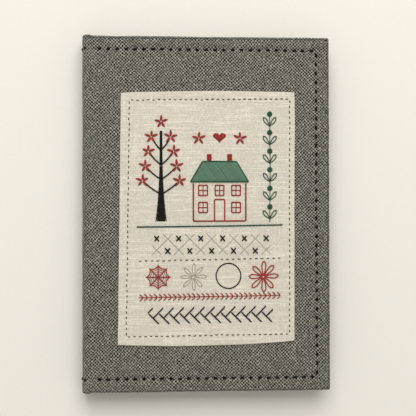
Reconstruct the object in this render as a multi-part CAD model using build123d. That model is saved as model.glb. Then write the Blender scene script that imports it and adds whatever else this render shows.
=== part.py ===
"""Book-form needle case: two cloth-covered boards on a soft spine, four felt leaves sewn into the gutter,
an embroidered linen patch on the front, and six needles held under felt loops on two of the leaves.

Millimetres. +X runs from the spine to the fore edge, +Y from tail to head, +Z up through the closed case,
which lies on its back cover. The origin is the centre of the bottom face. Every sub-part is one STEP in
parts/.
"""
import os
from math import atan2, ceil, cos, degrees, hypot, pi, radians, sin

from build123d import *

# ---- driving sizes -------------------------------------------------------------------------------
CASE_WIDTH = 102.0  # spine to fore edge
CASE_HEIGHT = 146.0  # tail to head
CLOTH = 0.8  # outer wool cloth
BOARD = 1.1  # stiffener sewn between cloth and lining
LINING = 0.5  # lining, level with the turned-in cloth round it
FELT = 0.9
LEAF_GAPS = (0.3, 0.3, 0.5, 1.25, 1.25)  # below leaf 4, then above leaves 4, 3, 2 and 1
CORNER_RADIUS = 3.4  # outside of the fold where a cover meets the spine
TURN_IN = 4.0  # width of cloth folded to the inside of a cover
EDGE_CHAMFER = 0.7

# ---- levels and lines worked out from them -------------------------------------------------------
LEFT, RIGHT = -CASE_WIDTH / 2, CASE_WIDTH / 2
HEAD = CASE_HEIGHT / 2
COVER = CLOTH + BOARD + LINING
CASE_THICKNESS = 2 * COVER + 4 * FELT + sum(LEAF_GAPS)
TOP = CASE_THICKNESS
FOLD_X = LEFT + CORNER_RADIUS  # where the flat of a cover ends and the corner begins
FOLD_LOW = CORNER_RADIUS
FOLD_HIGH = TOP - CORNER_RADIUS

# ---- leaves --------------------------------------------------------------------------------------
LEAF_FORE_EDGE = 43.5
LEAF_HEAD = 65.5
PINK_PITCH, PINK_DEPTH = 3.0, 1.3  # zigzag cut of the felt edges
LEAF_HINGE_X = {4: -46.2, 3: -45.5, 2: -44.8, 1: -44.1}
HINGE_ROOM = 0.1  # between a leaf's round end and its own fold
SPINE_BOARD = 0.5
SPINE_LINING = 0.4


def leaf_levels():
    """Underside height of each leaf, from leaf 4 on the back lining up to leaf 1."""
    levels, z = {}, COVER
    for leaf, gap in zip((4, 3, 2, 1), LEAF_GAPS):
        z += gap
        levels[leaf] = z
        z += FELT
    return levels


LEAF_Z = leaf_levels()

# ---- needles: leaf, x, y of the point, length, radius --------------------------------------------
NEEDLES = {
    "sharp_needle_1": (1, -27.0, -14.0, 34.0, 0.32),
    "sharp_needle_2": (1, -12.0, -16.0, 38.0, 0.32),
    "sharp_needle_3": (1, 3.0, -18.0, 42.0, 0.32),
    "sharp_needle_4": (1, 18.0, -20.0, 46.0, 0.32),
    "darning_needle_1": (2, -15.0, -24.0, 54.0, 0.38),
    "darning_needle_2": (2, 8.0, -26.0, 58.0, 0.38),
}
LOOP_LENGTH, LOOP_SKIN, LOOP_FLANK = 12.0, 0.25, 0.8
NEEDLE_LIFT, NEEDLE_ROOM = 0.05, 0.03
LOOP_START = -6.0  # y of the end of the felt loop nearest the point

# ---- edge stitching ------------------------------------------------------------------------------
STITCH_INSET = 5.5  # from the edges of the cover to the row
STITCH_PITCH, STITCH_LENGTH = 3.7, 1.7
INNER_STITCH_LENGTH = 1.9  # on the lining, in the spaces between the outer stitches
GROOVE_WIDTH, GROOVE_DEPTH = 0.9, 0.3
THREAD_WIDTH, THREAD_HEIGHT = 0.7, 0.25

# ---- patch and its embroidery, seen from the front -----------------------------------------------
PATCH_CORNERS = ((-36.2, -53.3), (35.8, -52.2), (36.2, 49.8), (-34.9, 49.1))
PATCH_SAG, PATCH_RISE = -53.9, 50.1  # middle of the bowed tail and head edges
PATCH_THICKNESS = 0.7
HEM_CORNERS = ((-33.0, -50.2), (34.0, -49.6), (34.3, 47.3), (-31.7, 46.4))
HEM_PITCH, HEM_STITCH = 2.2, 1.25
FLOSS = 0.4  # width of one laid thread
FLOSS_HEIGHT = 0.3
LAYER = 0.02  # free height under every laid thread
PATCH_TOP = TOP + PATCH_THICKNESS
SEW = PATCH_TOP + LAYER


# ---- small builders ------------------------------------------------------------------------------
def block(x0, x1, y0, y1, z0, z1):
    return Pos((x0 + x1) / 2, (y0 + y1) / 2, (z0 + z1) / 2) * Box(x1 - x0, y1 - y0, z1 - z0)


def prism(points, z0, height):
    """A closed outline in the XY plane, raised from z0."""
    return Pos(0, 0, z0) * extrude(make_face(Polyline(*points, close=True)), height)


def bar(a, b, width=FLOSS, z0=SEW, height=FLOSS_HEIGHT):
    """One straight thread lying from a to b."""
    run, rise = b[0] - a[0], b[1] - a[1]
    middle = Pos((a[0] + b[0]) / 2, (a[1] + b[1]) / 2, z0 + height / 2)
    return middle * Rot(0, 0, degrees(atan2(rise, run))) * Box(hypot(run, rise), width, height)


def lozenge(centre, angle, near, far, width, z0=SEW, height=FLOSS_HEIGHT):
    """A petal: a four-cornered prism along angle (degrees), from near to far of centre."""
    ux, uy = cos(radians(angle)), sin(radians(angle))
    middle = near + (far - near) * 0.55

    def at(along, across):
        return centre[0] + along * ux - across * uy, centre[1] + along * uy + across * ux

    return prism([at(near, 0), at(middle, -width / 2), at(far, 0), at(middle, width / 2)], z0, height)


def joined(shapes):
    return Part() + list(shapes)


def across_case(points):
    """An outline in the XZ plane (x, z), run from tail to head."""
    return extrude(Plane.XZ * make_face(Polyline(*points, close=True)), CASE_HEIGHT / 2, both=True)


def corner_sector(centre_x, centre_z, side, start, end):
    """Cloth round a corner: side is 1 at the front cover and -1 at the back; angles from the spine wall."""

    def at(radius, angle):
        a = radians(angle)
        return centre_x - radius * cos(a), centre_z + side * radius * sin(a)

    outer, inner, middle = CORNER_RADIUS, CORNER_RADIUS - CLOTH, (start + end) / 2
    outline = [
        ThreePointArc(at(outer, start), at(outer, middle), at(outer, end)),
        Line(at(outer, end), at(inner, end)),
        ThreePointArc(at(inner, end), at(inner, middle), at(inner, start)),
        Line(at(inner, start), at(outer, start)),
    ]
    return extrude(Plane.XZ * make_face(outline), CASE_HEIGHT / 2, both=True)


SPLIT, SPLIT_ROOM = 45, 4  # degrees: where the cloth divides between cover and spine, and the gap there


# ---- covers --------------------------------------------------------------------------------------
def cover_levels(front):
    """Heights of a cover's layers as (outer face, cloth/board, board/lining, inner face)."""
    layers = (0, CLOTH, CLOTH + BOARD, COVER)
    return [TOP - z for z in layers] if front else list(layers)


def spanned(x0, x1, y, a, b):
    return block(x0, x1, -y, y, min(a, b), max(a, b))


def stitch_rows():
    """The three rows round a cover as (start, end): head and tail from the spine, then the fore edge."""
    x_far, y_far = RIGHT - STITCH_INSET, HEAD - STITCH_INSET
    return (
        ((FOLD_X + STITCH_PITCH / 2, y_far), (x_far, y_far)),
        ((FOLD_X + STITCH_PITCH / 2, -y_far), (x_far, -y_far)),
        ((x_far, -y_far), (x_far, y_far)),
    )


def cover_cloth(front):
    outer, under, mid, inner = cover_levels(front)
    body = spanned(FOLD_X, RIGHT, HEAD, outer, inner)
    rim = body.edges().filter_by(lambda e: e.center().X > FOLD_X + 1)
    rim = rim.filter_by(lambda e: abs(e.center().Z - mid) > LINING / 2 and abs(e.tangent_at(0.5).Z) < 0.5)
    body = chamfer(rim, EDGE_CHAMFER)
    body -= spanned(FOLD_X - 1, RIGHT - CLOTH, HEAD - CLOTH, under, mid)
    body -= spanned(FOLD_X - 1, RIGHT - TURN_IN, HEAD - TURN_IN, mid, inner)
    side = 1 if front else -1
    body += corner_sector(FOLD_X, FOLD_HIGH if front else FOLD_LOW, side, SPLIT + SPLIT_ROOM, 90)
    depth_end = outer - side * GROOVE_DEPTH
    low, high = min(outer, depth_end), max(outer, depth_end)
    for start, end in stitch_rows():
        reach = GROOVE_WIDTH / 2
        x0, x1 = min(start[0], end[0]) - reach, max(start[0], end[0]) + reach
        y0, y1 = min(start[1], end[1]) - reach, max(start[1], end[1]) + reach
        body -= block(x0, x1, y0, y1, low, high)
    return body


def cover_board(front):
    _, under, mid, _ = cover_levels(front)
    return spanned(FOLD_X, RIGHT - CLOTH, HEAD - CLOTH, under, mid)


def cover_lining(front):
    _, _, mid, inner = cover_levels(front)
    return spanned(FOLD_X, RIGHT - TURN_IN, HEAD - TURN_IN, mid, inner)


def row_points(start, end, pitch):
    """Even places along a row, near pitch apart, with the last at the end."""
    count = round(hypot(end[0] - start[0], end[1] - start[1]) / pitch)
    return [
        (start[0] + (end[0] - start[0]) * i / count, start[1] + (end[1] - start[1]) * i / count)
        for i in range(count + 1)
    ]


def halfway(places):
    return [((a[0] + b[0]) / 2, (a[1] + b[1]) / 2) for a, b in zip(places, places[1:])]


def stitches(places, length, z0, width, height=THREAD_HEIGHT):
    """A running row: one bar in the middle of each space between two places."""
    made = []
    for a, b in zip(places, places[1:]):
        share = (1 - length / hypot(b[0] - a[0], b[1] - a[1])) / 2
        run, rise = (b[0] - a[0]) * share, (b[1] - a[1]) * share
        first, last = (a[0] + run, a[1] + rise), (b[0] - run, b[1] - rise)
        made.append(bar(first, last, width, z0, height))
    return made


def cover_stitching(front):
    """Bars in the groove outside, and bars on the lining between them."""
    outer, _, _, inner = cover_levels(front)
    outside = outer - GROOVE_DEPTH + LAYER if front else outer + GROOVE_DEPTH - LAYER - THREAD_HEIGHT
    inside = inner - LAYER - THREAD_HEIGHT if front else inner + LAYER
    made = []
    for start, end in stitch_rows():
        places = row_points(start, end, STITCH_PITCH)
        made += stitches(places, STITCH_LENGTH, outside, THREAD_WIDTH)
        made += stitches(halfway(places), INNER_STITCH_LENGTH, inside, THREAD_WIDTH)
    return made


# ---- spine ---------------------------------------------------------------------------------------
def spine_cloth():
    wall = spanned(LEFT, LEFT + CLOTH, HEAD, FOLD_LOW, FOLD_HIGH)
    wall += corner_sector(FOLD_X, FOLD_HIGH, 1, 0, SPLIT - SPLIT_ROOM)
    wall += corner_sector(FOLD_X, FOLD_LOW, -1, 0, SPLIT - SPLIT_ROOM)
    for end in (-1, 1):
        y = end * (HEAD - STITCH_INSET)
        reach = GROOVE_WIDTH / 2
        wall -= block(LEFT, LEFT + GROOVE_DEPTH, y - reach, y + reach, FOLD_LOW, FOLD_HIGH)
    return wall


def spine_board():
    return spanned(LEFT + CLOTH, LEFT + CLOTH + SPINE_BOARD, HEAD - 1, FOLD_LOW, FOLD_HIGH)


BINDING_HOLES = (-52.0, -26.0, 0.0, 26.0, 52.0)
BINDING_THREAD, BINDING_HOLE = 0.4, 0.5
MID_FOLD_Z = (LEAF_Z[3] + FELT + LEAF_Z[2]) / 2
LINING_FACE = LEFT + CLOTH + SPINE_BOARD + SPINE_LINING
OUTER_FOLD_X = LINING_FACE + 0.1
INNER_FOLD_X = OUTER_FOLD_X + FELT + 0.1


def with_binding_holes(shape):
    """Square sewing holes through the fold at the middle of the spine."""
    half = BINDING_HOLE / 2
    for y in BINDING_HOLES:
        shape -= block(LEFT + CLOTH + SPINE_BOARD, INNER_FOLD_X + FELT + 1, y - half, y + half,
                       MID_FOLD_Z - half, MID_FOLD_Z + half)
    return shape


def spine_lining():
    strip = spanned(LINING_FACE - SPINE_LINING, LINING_FACE, HEAD - 2, COVER + 0.4, TOP - COVER - 0.4)
    return with_binding_holes(strip)


def felt_fold(low_leaf, high_leaf, x):
    """The bend of a folded felt sheet, which stays in the gutter while its two leaves turn."""
    low, high = LEAF_Z[low_leaf], LEAF_Z[high_leaf] + FELT
    fold = spanned(x, x + FELT, LEAF_HEAD, low, high)
    for leaf in (low_leaf, high_leaf):
        end = LEAF_HINGE_X[leaf] - FELT / 2 - HINGE_ROOM
        fold += spanned(x, end, LEAF_HEAD, LEAF_Z[leaf], LEAF_Z[leaf] + FELT)
    return with_binding_holes(fold)


def binding_thread():
    """A pamphlet stitch: through each hole, and along the inside of the fold from hole to hole."""
    half, room = BINDING_THREAD / 2, 0.05
    inside = INNER_FOLD_X + FELT + room
    back = LEFT + CLOTH + SPINE_BOARD + room
    thread = [
        block(back, inside + BINDING_THREAD, y - half, y + half, MID_FOLD_Z - half, MID_FOLD_Z + half)
        for y in BINDING_HOLES
    ]
    for y0, y1 in zip(BINDING_HOLES, BINDING_HOLES[1:]):
        thread.append(block(inside, inside + BINDING_THREAD, y0, y1, MID_FOLD_Z - half, MID_FOLD_Z + half))
    return joined(thread)


def spine_stitching():
    """The head and tail rows carried down over the spine."""
    made = []
    x = LEFT + GROOVE_DEPTH - LAYER
    for end in (-1, 1):
        y = end * (HEAD - STITCH_INSET)
        half = THREAD_WIDTH / 2
        span = (FOLD_HIGH - FOLD_LOW) / 2
        margin = (span - STITCH_LENGTH) / 2
        for low in (FOLD_LOW, FOLD_LOW + span):
            made.append(block(x - THREAD_HEIGHT, x, y - half, y + half, low + margin, low + span - margin))
    return made


# ---- leaves and needles --------------------------------------------------------------------------
def zigzag(start, end):
    """Points of a pinked edge from start to end, cut to the left of the way it runs."""
    length = hypot(end[0] - start[0], end[1] - start[1])
    teeth = ceil(length / PINK_PITCH)
    ux, uy = (end[0] - start[0]) / length, (end[1] - start[1]) / length
    points = []
    for i in range(teeth):
        tip, notch = length * i / teeth, length * (i + 0.5) / teeth
        points.append((start[0] + ux * tip, start[1] + uy * tip))
        points.append((start[0] + ux * notch - uy * PINK_DEPTH, start[1] + uy * notch + ux * PINK_DEPTH))
    return points


def felt_leaf(leaf):
    hinge, low = LEAF_HINGE_X[leaf], LEAF_Z[leaf]
    outline = (
        zigzag((hinge, -LEAF_HEAD), (LEAF_FORE_EDGE, -LEAF_HEAD))
        + zigzag((LEAF_FORE_EDGE, -LEAF_HEAD), (LEAF_FORE_EDGE, LEAF_HEAD))
        + zigzag((LEAF_FORE_EDGE, LEAF_HEAD), (hinge, LEAF_HEAD))
        + [(hinge, LEAF_HEAD)]
    )
    sheet = prism(outline, low, FELT)
    sheet += Pos(hinge, 0, low + FELT / 2) * Rot(90, 0, 0) * Cylinder(FELT / 2, 2 * LEAF_HEAD)
    held = [(x, radius) for on_leaf, x, _, _, radius in NEEDLES.values() if on_leaf == leaf]
    for x, radius in held:
        sheet += needle_loop(leaf, x, radius)
        tunnel = Rot(90, 0, 0) * Cylinder(radius + NEEDLE_ROOM, LOOP_LENGTH + 2)
        sheet -= Pos(x, LOOP_START + LOOP_LENGTH / 2, needle_height(leaf, radius)) * tunnel
    return sheet


def needle_height(leaf, radius):
    return LEAF_Z[leaf] + FELT + NEEDLE_LIFT + NEEDLE_ROOM + radius


def needle_loop(leaf, x, radius):
    """A tunnel of felt, raised by the needle that runs under it."""
    base = LEAF_Z[leaf] + FELT
    crown = needle_height(leaf, radius) + radius + NEEDLE_ROOM + LOOP_SKIN
    foot, shoulder = radius + LOOP_FLANK, radius + NEEDLE_ROOM
    outline = [(x - foot, base), (x + foot, base), (x + shoulder, crown), (x - shoulder, crown)]
    arch = extrude(Plane.XZ * make_face(Polyline(*outline, close=True)), LOOP_LENGTH / 2, both=True)
    return Pos(0, LOOP_START + LOOP_LENGTH / 2, 0) * arch


def needle(leaf, x, y_point, length, radius):
    """Point towards the tail, eye towards the head."""
    taper, crown = 7.0, 0.5
    profile = [
        (0, 0),
        (0.03, 0),
        (radius * 0.7, taper * 0.45),
        (radius, taper),
        (radius, length - crown),
        (radius * 0.55, length),
        (0, length),
    ]
    shaft = revolve(make_face(Polyline(*profile, close=True)), Axis.Y)
    eye_length, eye_width = 5 * radius, 0.8 * radius
    shaft -= Pos(0, length - 1.2 - eye_length / 2, 0) * Box(eye_width, eye_length, 4 * radius)
    return Pos(x, y_point, needle_height(leaf, radius)) * shaft


# ---- patch ---------------------------------------------------------------------------------------
def linen_patch():
    tail_left, tail_right, head_right, head_left = PATCH_CORNERS
    outline = [
        ThreePointArc(tail_left, (-8.0, PATCH_SAG), tail_right),
        Line(tail_right, head_right),
        ThreePointArc(head_right, (8.0, PATCH_RISE), head_left),
        Line(head_left, tail_left),
    ]
    return Pos(0, 0, TOP) * extrude(make_face(outline), PATCH_THICKNESS)


def hem_stitching():
    made = []
    for start, end in zip(HEM_CORNERS, HEM_CORNERS[1:] + HEM_CORNERS[:1]):
        length = hypot(end[0] - start[0], end[1] - start[1])
        turn = HEM_PITCH * 0.25 / length
        first = (start[0] + (end[0] - start[0]) * turn, start[1] + (end[1] - start[1]) * turn)
        last = (end[0] - (end[0] - start[0]) * turn, end[1] - (end[1] - start[1]) * turn)
        made += stitches(row_points(first, last, HEM_PITCH), HEM_STITCH, SEW, FLOSS)
    return made


# ---- embroidery: tree ----------------------------------------------------------------------------
TREE_X, TREE_FOOT, TREE_TOP = -18.8, -3.4, 34.6
TREE_WIDE, TREE_NARROW = 4.6, 1.0
BRANCHES, BRANCH_LOW, BRANCH_PITCH, BRANCH_RISE = 4, 8.0, 6.0, 5.5
BRANCH_REACH, BRANCH_LESS = 7.6, 1.2  # the lowest pair's reach, and how much less each next pair has
PETAL_NEAR, PETAL_FAR, PETAL_WIDTH = 0.5, 2.3, 0.8


def branches():
    """Foot and blossom centre of each branch, in pairs up the trunk."""
    made = []
    for i in range(BRANCHES):
        y, reach = BRANCH_LOW + i * BRANCH_PITCH, BRANCH_REACH - i * BRANCH_LESS
        made += [((TREE_X, y), (TREE_X + side * reach, y + BRANCH_RISE)) for side in (-1, 1)]
    return made


def trunk():
    """The outline of the trunk, which narrows quickly and then slowly."""
    edge = []
    for i in range(9):
        share = i / 8
        half = (TREE_NARROW + (TREE_WIDE - TREE_NARROW) * (1 - share) ** 3) / 2
        edge.append((half, TREE_FOOT + (TREE_TOP - TREE_FOOT) * share))
    return [(TREE_X - half, y) for half, y in edge] + [(TREE_X + half, y) for half, y in edge[::-1]]


def tree():
    made = [prism(trunk(), SEW, FLOSS_HEIGHT)]
    for foot, centre in branches():
        reach = 1 - (PETAL_FAR + 0.2) / hypot(centre[0] - foot[0], centre[1] - foot[1])
        tip = (foot[0] + (centre[0] - foot[0]) * reach, foot[1] + (centre[1] - foot[1]) * reach)
        made.append(bar(foot, tip, 0.45))
    return joined(made)


def blossoms():
    """Five petals at the end of every branch, over the top of the trunk and each side of the heart."""
    centres = [centre for _, centre in branches()] + [(TREE_X, TREE_TOP + PETAL_FAR + 0.8)]
    centres += [(HOUSE_X - SPRIG_APART, SPRIG_Y), (HOUSE_X + SPRIG_APART, SPRIG_Y)]
    return [
        lozenge(centre, 90 + 72 * i, PETAL_NEAR, PETAL_FAR, PETAL_WIDTH)
        for centre in centres
        for i in range(5)
    ]


# ---- embroidery: house ---------------------------------------------------------------------------
HOUSE_X, HOUSE_HALF = 5.2, 10.8  # middle and half width of a house seen square on
WALL_FOOT, EAVE, RIDGE = -3.1, 13.0, 21.4
ROOF_OVERHANG, RIDGE_HALF = 1.2, 7.0
WINDOW_APART, WINDOW_WIDTH, WINDOW_HEIGHT = 6.8, 3.6, 4.2
WINDOW_FLOORS = (0.4, 7.4)
DOOR_HALF, DOOR_TOP = 2.1, 5.8
CHIMNEY_APART, CHIMNEY_WIDTH, CHIMNEY_HEIGHT = 4.2, 2.4, 2.6
HEART_FOOT, HEART_SCALE = 28.6, 1.7
SPRIG_APART, SPRIG_Y = 8.5, 31.0  # the blossom each side of the heart


def window_corners():
    """Lower left corner of each window: three above, and one each side of the door."""
    columns = [HOUSE_X + i * WINDOW_APART - WINDOW_WIDTH / 2 for i in (-1, 0, 1)]
    lower, upper = WINDOW_FLOORS
    return [(x, upper) for x in columns] + [(x, lower) for x in columns[::2]]


def frame_bars(x, y, width, height):
    """A window: four sides, one upright and one cross bar."""
    xs, ys = (x, x + width / 2, x + width), (y, y + height / 2, y + height)
    upright = [bar((at, y - FLOSS / 2), (at, y + height + FLOSS / 2)) for at in xs]
    return upright + [bar((x, at), (x + width, at)) for at in ys]


def house_outline():
    left, right = HOUSE_X - HOUSE_HALF, HOUSE_X + HOUSE_HALF
    made = [bar((x, WALL_FOOT), (x, EAVE - 0.6)) for x in (left, right)]
    made.append(bar((left - FLOSS / 2, WALL_FOOT), (right + FLOSS / 2, WALL_FOOT)))
    jambs = (HOUSE_X - DOOR_HALF, HOUSE_X + DOOR_HALF)
    made += [bar((x, WALL_FOOT), (x, DOOR_TOP)) for x in jambs]
    made.append(bar((jambs[0] - FLOSS / 2, DOOR_TOP), (jambs[1] + FLOSS / 2, DOOR_TOP)))
    for x, y in window_corners():
        made += frame_bars(x, y, WINDOW_WIDTH, WINDOW_HEIGHT)
    return joined(made)


def roof_corners(inset):
    """The hipped roof, drawn in from its outline by inset."""
    low, high = HOUSE_HALF + ROOF_OVERHANG - 1.4 * inset, RIDGE_HALF - 0.8 * inset
    return [(HOUSE_X - low, EAVE + inset), (HOUSE_X + low, EAVE + inset),
            (HOUSE_X + high, RIDGE - inset), (HOUSE_X - high, RIDGE - inset)]


def roof_outline():
    corners = roof_corners(0)
    return joined([bar(a, b) for a, b in zip(corners, corners[1:] + corners[:1])])


def roof():
    return prism(roof_corners(0.5), SEW, FLOSS_HEIGHT)


def chimneys():
    foot, half = RIDGE + 0.35, CHIMNEY_WIDTH / 2
    middles = (HOUSE_X - CHIMNEY_APART, HOUSE_X + CHIMNEY_APART)
    return [block(x - half, x + half, foot, foot + CHIMNEY_HEIGHT, SEW, SEW + FLOSS_HEIGHT) for x in middles]


def heart():
    """A filled heart over the house."""
    right = [(0, 0), (1.5, 1.5), (1.55, 2.2), (1.1, 2.8), (0.5, 2.8)]
    left = [(-x, y) for x, y in right[:0:-1]]
    shape = right + [(0, 2.3)] + left
    outline = [(HOUSE_X + x * HEART_SCALE, HEART_FOOT + y * HEART_SCALE) for x, y in shape]
    return prism(outline, SEW, FLOSS_HEIGHT)


# ---- embroidery: vine and ground -----------------------------------------------------------------
VINE_X, VINE_FOOT, VINE_KNOTS, VINE_PITCH, KNOT_RADIUS = 26.0, -3.6, 6, 7.65, 0.95
VINE_TOP = 41.0
GROUND = ((-28.9, -5.5), (31.4, -4.7))


def vine_knots():
    tops = [VINE_TOP - i * VINE_PITCH for i in range(VINE_KNOTS)]
    return [Pos(VINE_X, y, SEW + 0.3) * Cylinder(KNOT_RADIUS, 0.6) for y in tops]


def vine_stem():
    """Straight lengths between the knots, the last one down to the ground."""
    made = []
    for i in range(VINE_KNOTS):
        upper = VINE_TOP - i * VINE_PITCH - KNOT_RADIUS - 0.1
        lower = VINE_FOOT if i == VINE_KNOTS - 1 else upper - VINE_PITCH + 2 * (KNOT_RADIUS + 0.1)
        made.append(bar((VINE_X, lower), (VINE_X, upper), 0.3))
    return made


def vine_leaves():
    made = []
    for i in range(VINE_KNOTS):
        root = (VINE_X, VINE_TOP - (i + 0.58) * VINE_PITCH)
        made += [lozenge(root, angle, 0.45, 4.0, 1.3) for angle in (45, 135)]
    return made


# ---- embroidery: bands ---------------------------------------------------------------------------
TRELLIS_LEFT, TRELLIS_PITCH, TRELLIS_TOP, TRELLIS_DROP = -20.6, 9.0, -10.3, 4.6
CROSS_ARM = 1.0
DIVIDER = ((-28.5, -19.4), (31.0, -18.4))
DIVIDER_PITCH, DIVIDER_STITCH = 2.35, 1.3
MOTIF_Y = -26.0
WEB_X, PALE_X, RING_X, DAISY_X = -20.0, -5.6, 8.8, 23.2
RED_BAND = ((-28.2, -34.3), (30.2, -33.7))
RED_PITCH, RED_ARM = 2.1, 1.3
FEATHER_START, FEATHER_PITCH, FEATHER_UNITS = (-24.2, -40.6), 4.3, 12


def trellis():
    """Upper and lower rows of crossings joined by slanting threads."""
    half = TRELLIS_PITCH / 2
    ends = 2.0
    made = []
    for i in range(5):
        x = TRELLIS_LEFT + half + i * TRELLIS_PITCH
        for way in (-1, 1):
            top = (x - way * ends, TRELLIS_TOP + ends)
            foot = (x + way * (half + ends), TRELLIS_TOP - TRELLIS_DROP - ends)
            made.append(bar(top, foot, 0.25, SEW, 0.15))
    for x, way in ((TRELLIS_LEFT, 1), (TRELLIS_LEFT + 5 * TRELLIS_PITCH, -1)):
        y = TRELLIS_TOP - TRELLIS_DROP
        made.append(bar((x - way * ends, y + ends), (x + way * ends, y - ends), 0.25, SEW, 0.15))
    return joined(made)


def cross_places():
    upper = [(TRELLIS_LEFT + i * TRELLIS_PITCH, TRELLIS_TOP + 0.1) for i in range(6)]
    lower = [(TRELLIS_LEFT + (i + 0.5) * TRELLIS_PITCH, TRELLIS_TOP - TRELLIS_DROP - 0.4) for i in range(5)]
    return upper + lower


def cross_stitches():
    """Sewn over the trellis, so they stand one thin layer higher."""
    z0, arm = SEW + 0.2, CROSS_ARM
    return [
        joined([bar((x - arm, y - arm), (x + arm, y + arm), 0.45, z0, 0.3),
                bar((x - arm, y + arm), (x + arm, y - arm), 0.45, z0, 0.3)])
        for x, y in cross_places()
    ]


def star_outline(centre, points, outer, inner, turn):
    """Corners of a star, alternately far from and near to its centre."""
    return [
        (centre[0] + (outer if i % 2 == 0 else inner) * cos(pi * i / points + radians(turn)),
         centre[1] + (outer if i % 2 == 0 else inner) * sin(pi * i / points + radians(turn)))
        for i in range(2 * points)
    ]


def web_wheel():
    return prism(star_outline((WEB_X, MOTIF_Y), 8, 4.8, 3.9, 90), SEW, FLOSS_HEIGHT)


def daisy(x, petals, far, width, turn):
    return [lozenge((x, MOTIF_Y), turn + 360 * i / petals, 0.9, far, width) for i in range(petals)]


def ring():
    outer = Pos(RING_X, MOTIF_Y + 0.4, SEW + FLOSS_HEIGHT / 2) * Cylinder(5.3, FLOSS_HEIGHT)
    return outer - Pos(RING_X, MOTIF_Y + 0.4, SEW + FLOSS_HEIGHT / 2) * Cylinder(4.9, 2 * FLOSS_HEIGHT)


def red_feather():
    """A line of arrowheads pointing to the fore edge, on one long back-stitched line."""
    start, end = RED_BAND
    made = [bar(start, end, 0.3)]
    for x, y in row_points(start, end, RED_PITCH)[1:]:
        made += [bar((x - RED_ARM, y + way * RED_ARM), (x, y), 0.35) for way in (-1, 1)]
    return joined(made)


def black_feather():
    """Feather stitch: each slanting stitch starts half way down the arm before it."""
    made = []
    half = FEATHER_PITCH / 2
    for i in range(FEATHER_UNITS):
        x, y = FEATHER_START[0] + i * FEATHER_PITCH, FEATHER_START[1]
        made.append(bar((x, y), (x + half * 2.1, y - half * 2.1), 0.45))
        made.append(bar((x, y), (x + half, y + half), 0.4))
        if i:
            made.append(bar((x, y), (x - half, y - half), 0.4))
    return joined(made)


# ---- write every sub-part ------------------------------------------------------------------------
def all_parts():
    parts = {}
    for side, front in (("front", True), ("back", False)):
        parts[f"{side}_cloth"] = cover_cloth(front)
        parts[f"{side}_board"] = cover_board(front)
        parts[f"{side}_lining"] = cover_lining(front)
        parts[f"{side}_edge_stitching"] = cover_stitching(front)
    parts.update(
        spine_cloth=spine_cloth(),
        spine_board=spine_board(),
        spine_lining=spine_lining(),
        spine_stitching=spine_stitching(),
        outer_felt_fold=felt_fold(4, 1, OUTER_FOLD_X),
        inner_felt_fold=felt_fold(3, 2, INNER_FOLD_X),
        binding_thread=binding_thread(),
    )
    for leaf in LEAF_Z:
        parts[f"felt_leaf_{leaf}"] = felt_leaf(leaf)
    for name, sizes in NEEDLES.items():
        parts[name] = needle(*sizes)
    parts.update(
        linen_patch=linen_patch(),
        patch_hem_stitching=hem_stitching(),
        tree_satin=tree(),
        blossom_petals=blossoms(),
        house_outline=house_outline(),
        roof_outline=roof_outline(),
        roof_satin=roof(),
        chimney_satin=chimneys(),
        heart_satin=heart(),
        vine_stem=vine_stem(),
        vine_knots=vine_knots(),
        vine_leaves=vine_leaves(),
        ground_line=bar(*GROUND, 0.55),
        trellis_threads=trellis(),
        cross_stitches=cross_stitches(),
        divider_stitches=stitches(row_points(*DIVIDER, DIVIDER_PITCH), DIVIDER_STITCH, SEW, FLOSS),
        web_wheel=web_wheel(),
        pale_daisy=daisy(PALE_X, 8, 5.1, 1.5, 90),
        ring_stitch=ring(),
        red_daisy=daisy(DAISY_X, 8, 5.5, 1.6, 90),
        red_feather_band=red_feather(),
        black_feather_band=black_feather(),
    )
    return parts


os.makedirs("parts", exist_ok=True)
for node, shape in all_parts().items():
    solids = [s for piece in shape for s in piece.solids()] if isinstance(shape, list) else shape.solids()
    export_step(Compound(children=list(solids)), f"parts/{node}.step")
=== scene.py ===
"""Looks of the book-form needle case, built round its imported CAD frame.

Shapes are worked out in millimetres and become metres when a mesh is made. +X runs from the spine to the
fore edge, +Y from tail to head and +Z out of the front cover. The case lies closed on its back cover.
"""
import math
from functools import partialmethod

import bmesh
import bpy
import numpy as np
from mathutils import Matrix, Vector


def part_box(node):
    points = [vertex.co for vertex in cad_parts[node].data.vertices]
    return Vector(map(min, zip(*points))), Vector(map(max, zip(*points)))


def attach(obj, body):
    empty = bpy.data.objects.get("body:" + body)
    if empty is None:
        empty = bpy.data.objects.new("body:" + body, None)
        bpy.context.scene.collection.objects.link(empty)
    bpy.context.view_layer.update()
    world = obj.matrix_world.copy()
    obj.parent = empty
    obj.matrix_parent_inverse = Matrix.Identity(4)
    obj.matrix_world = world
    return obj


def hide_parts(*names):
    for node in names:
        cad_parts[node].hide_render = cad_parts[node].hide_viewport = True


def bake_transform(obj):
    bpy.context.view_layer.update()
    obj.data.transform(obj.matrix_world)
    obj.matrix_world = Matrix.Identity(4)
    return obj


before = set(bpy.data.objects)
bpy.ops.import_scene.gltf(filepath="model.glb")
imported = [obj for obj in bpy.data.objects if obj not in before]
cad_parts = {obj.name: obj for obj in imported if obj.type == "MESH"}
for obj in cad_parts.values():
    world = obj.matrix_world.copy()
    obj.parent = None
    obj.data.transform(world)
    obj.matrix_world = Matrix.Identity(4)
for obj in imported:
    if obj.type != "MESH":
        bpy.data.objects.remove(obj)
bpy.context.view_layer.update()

MM = 0.001


def low(node):
    return np.array(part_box(node)[0]) / MM


def high(node):
    return np.array(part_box(node)[1]) / MM


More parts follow.
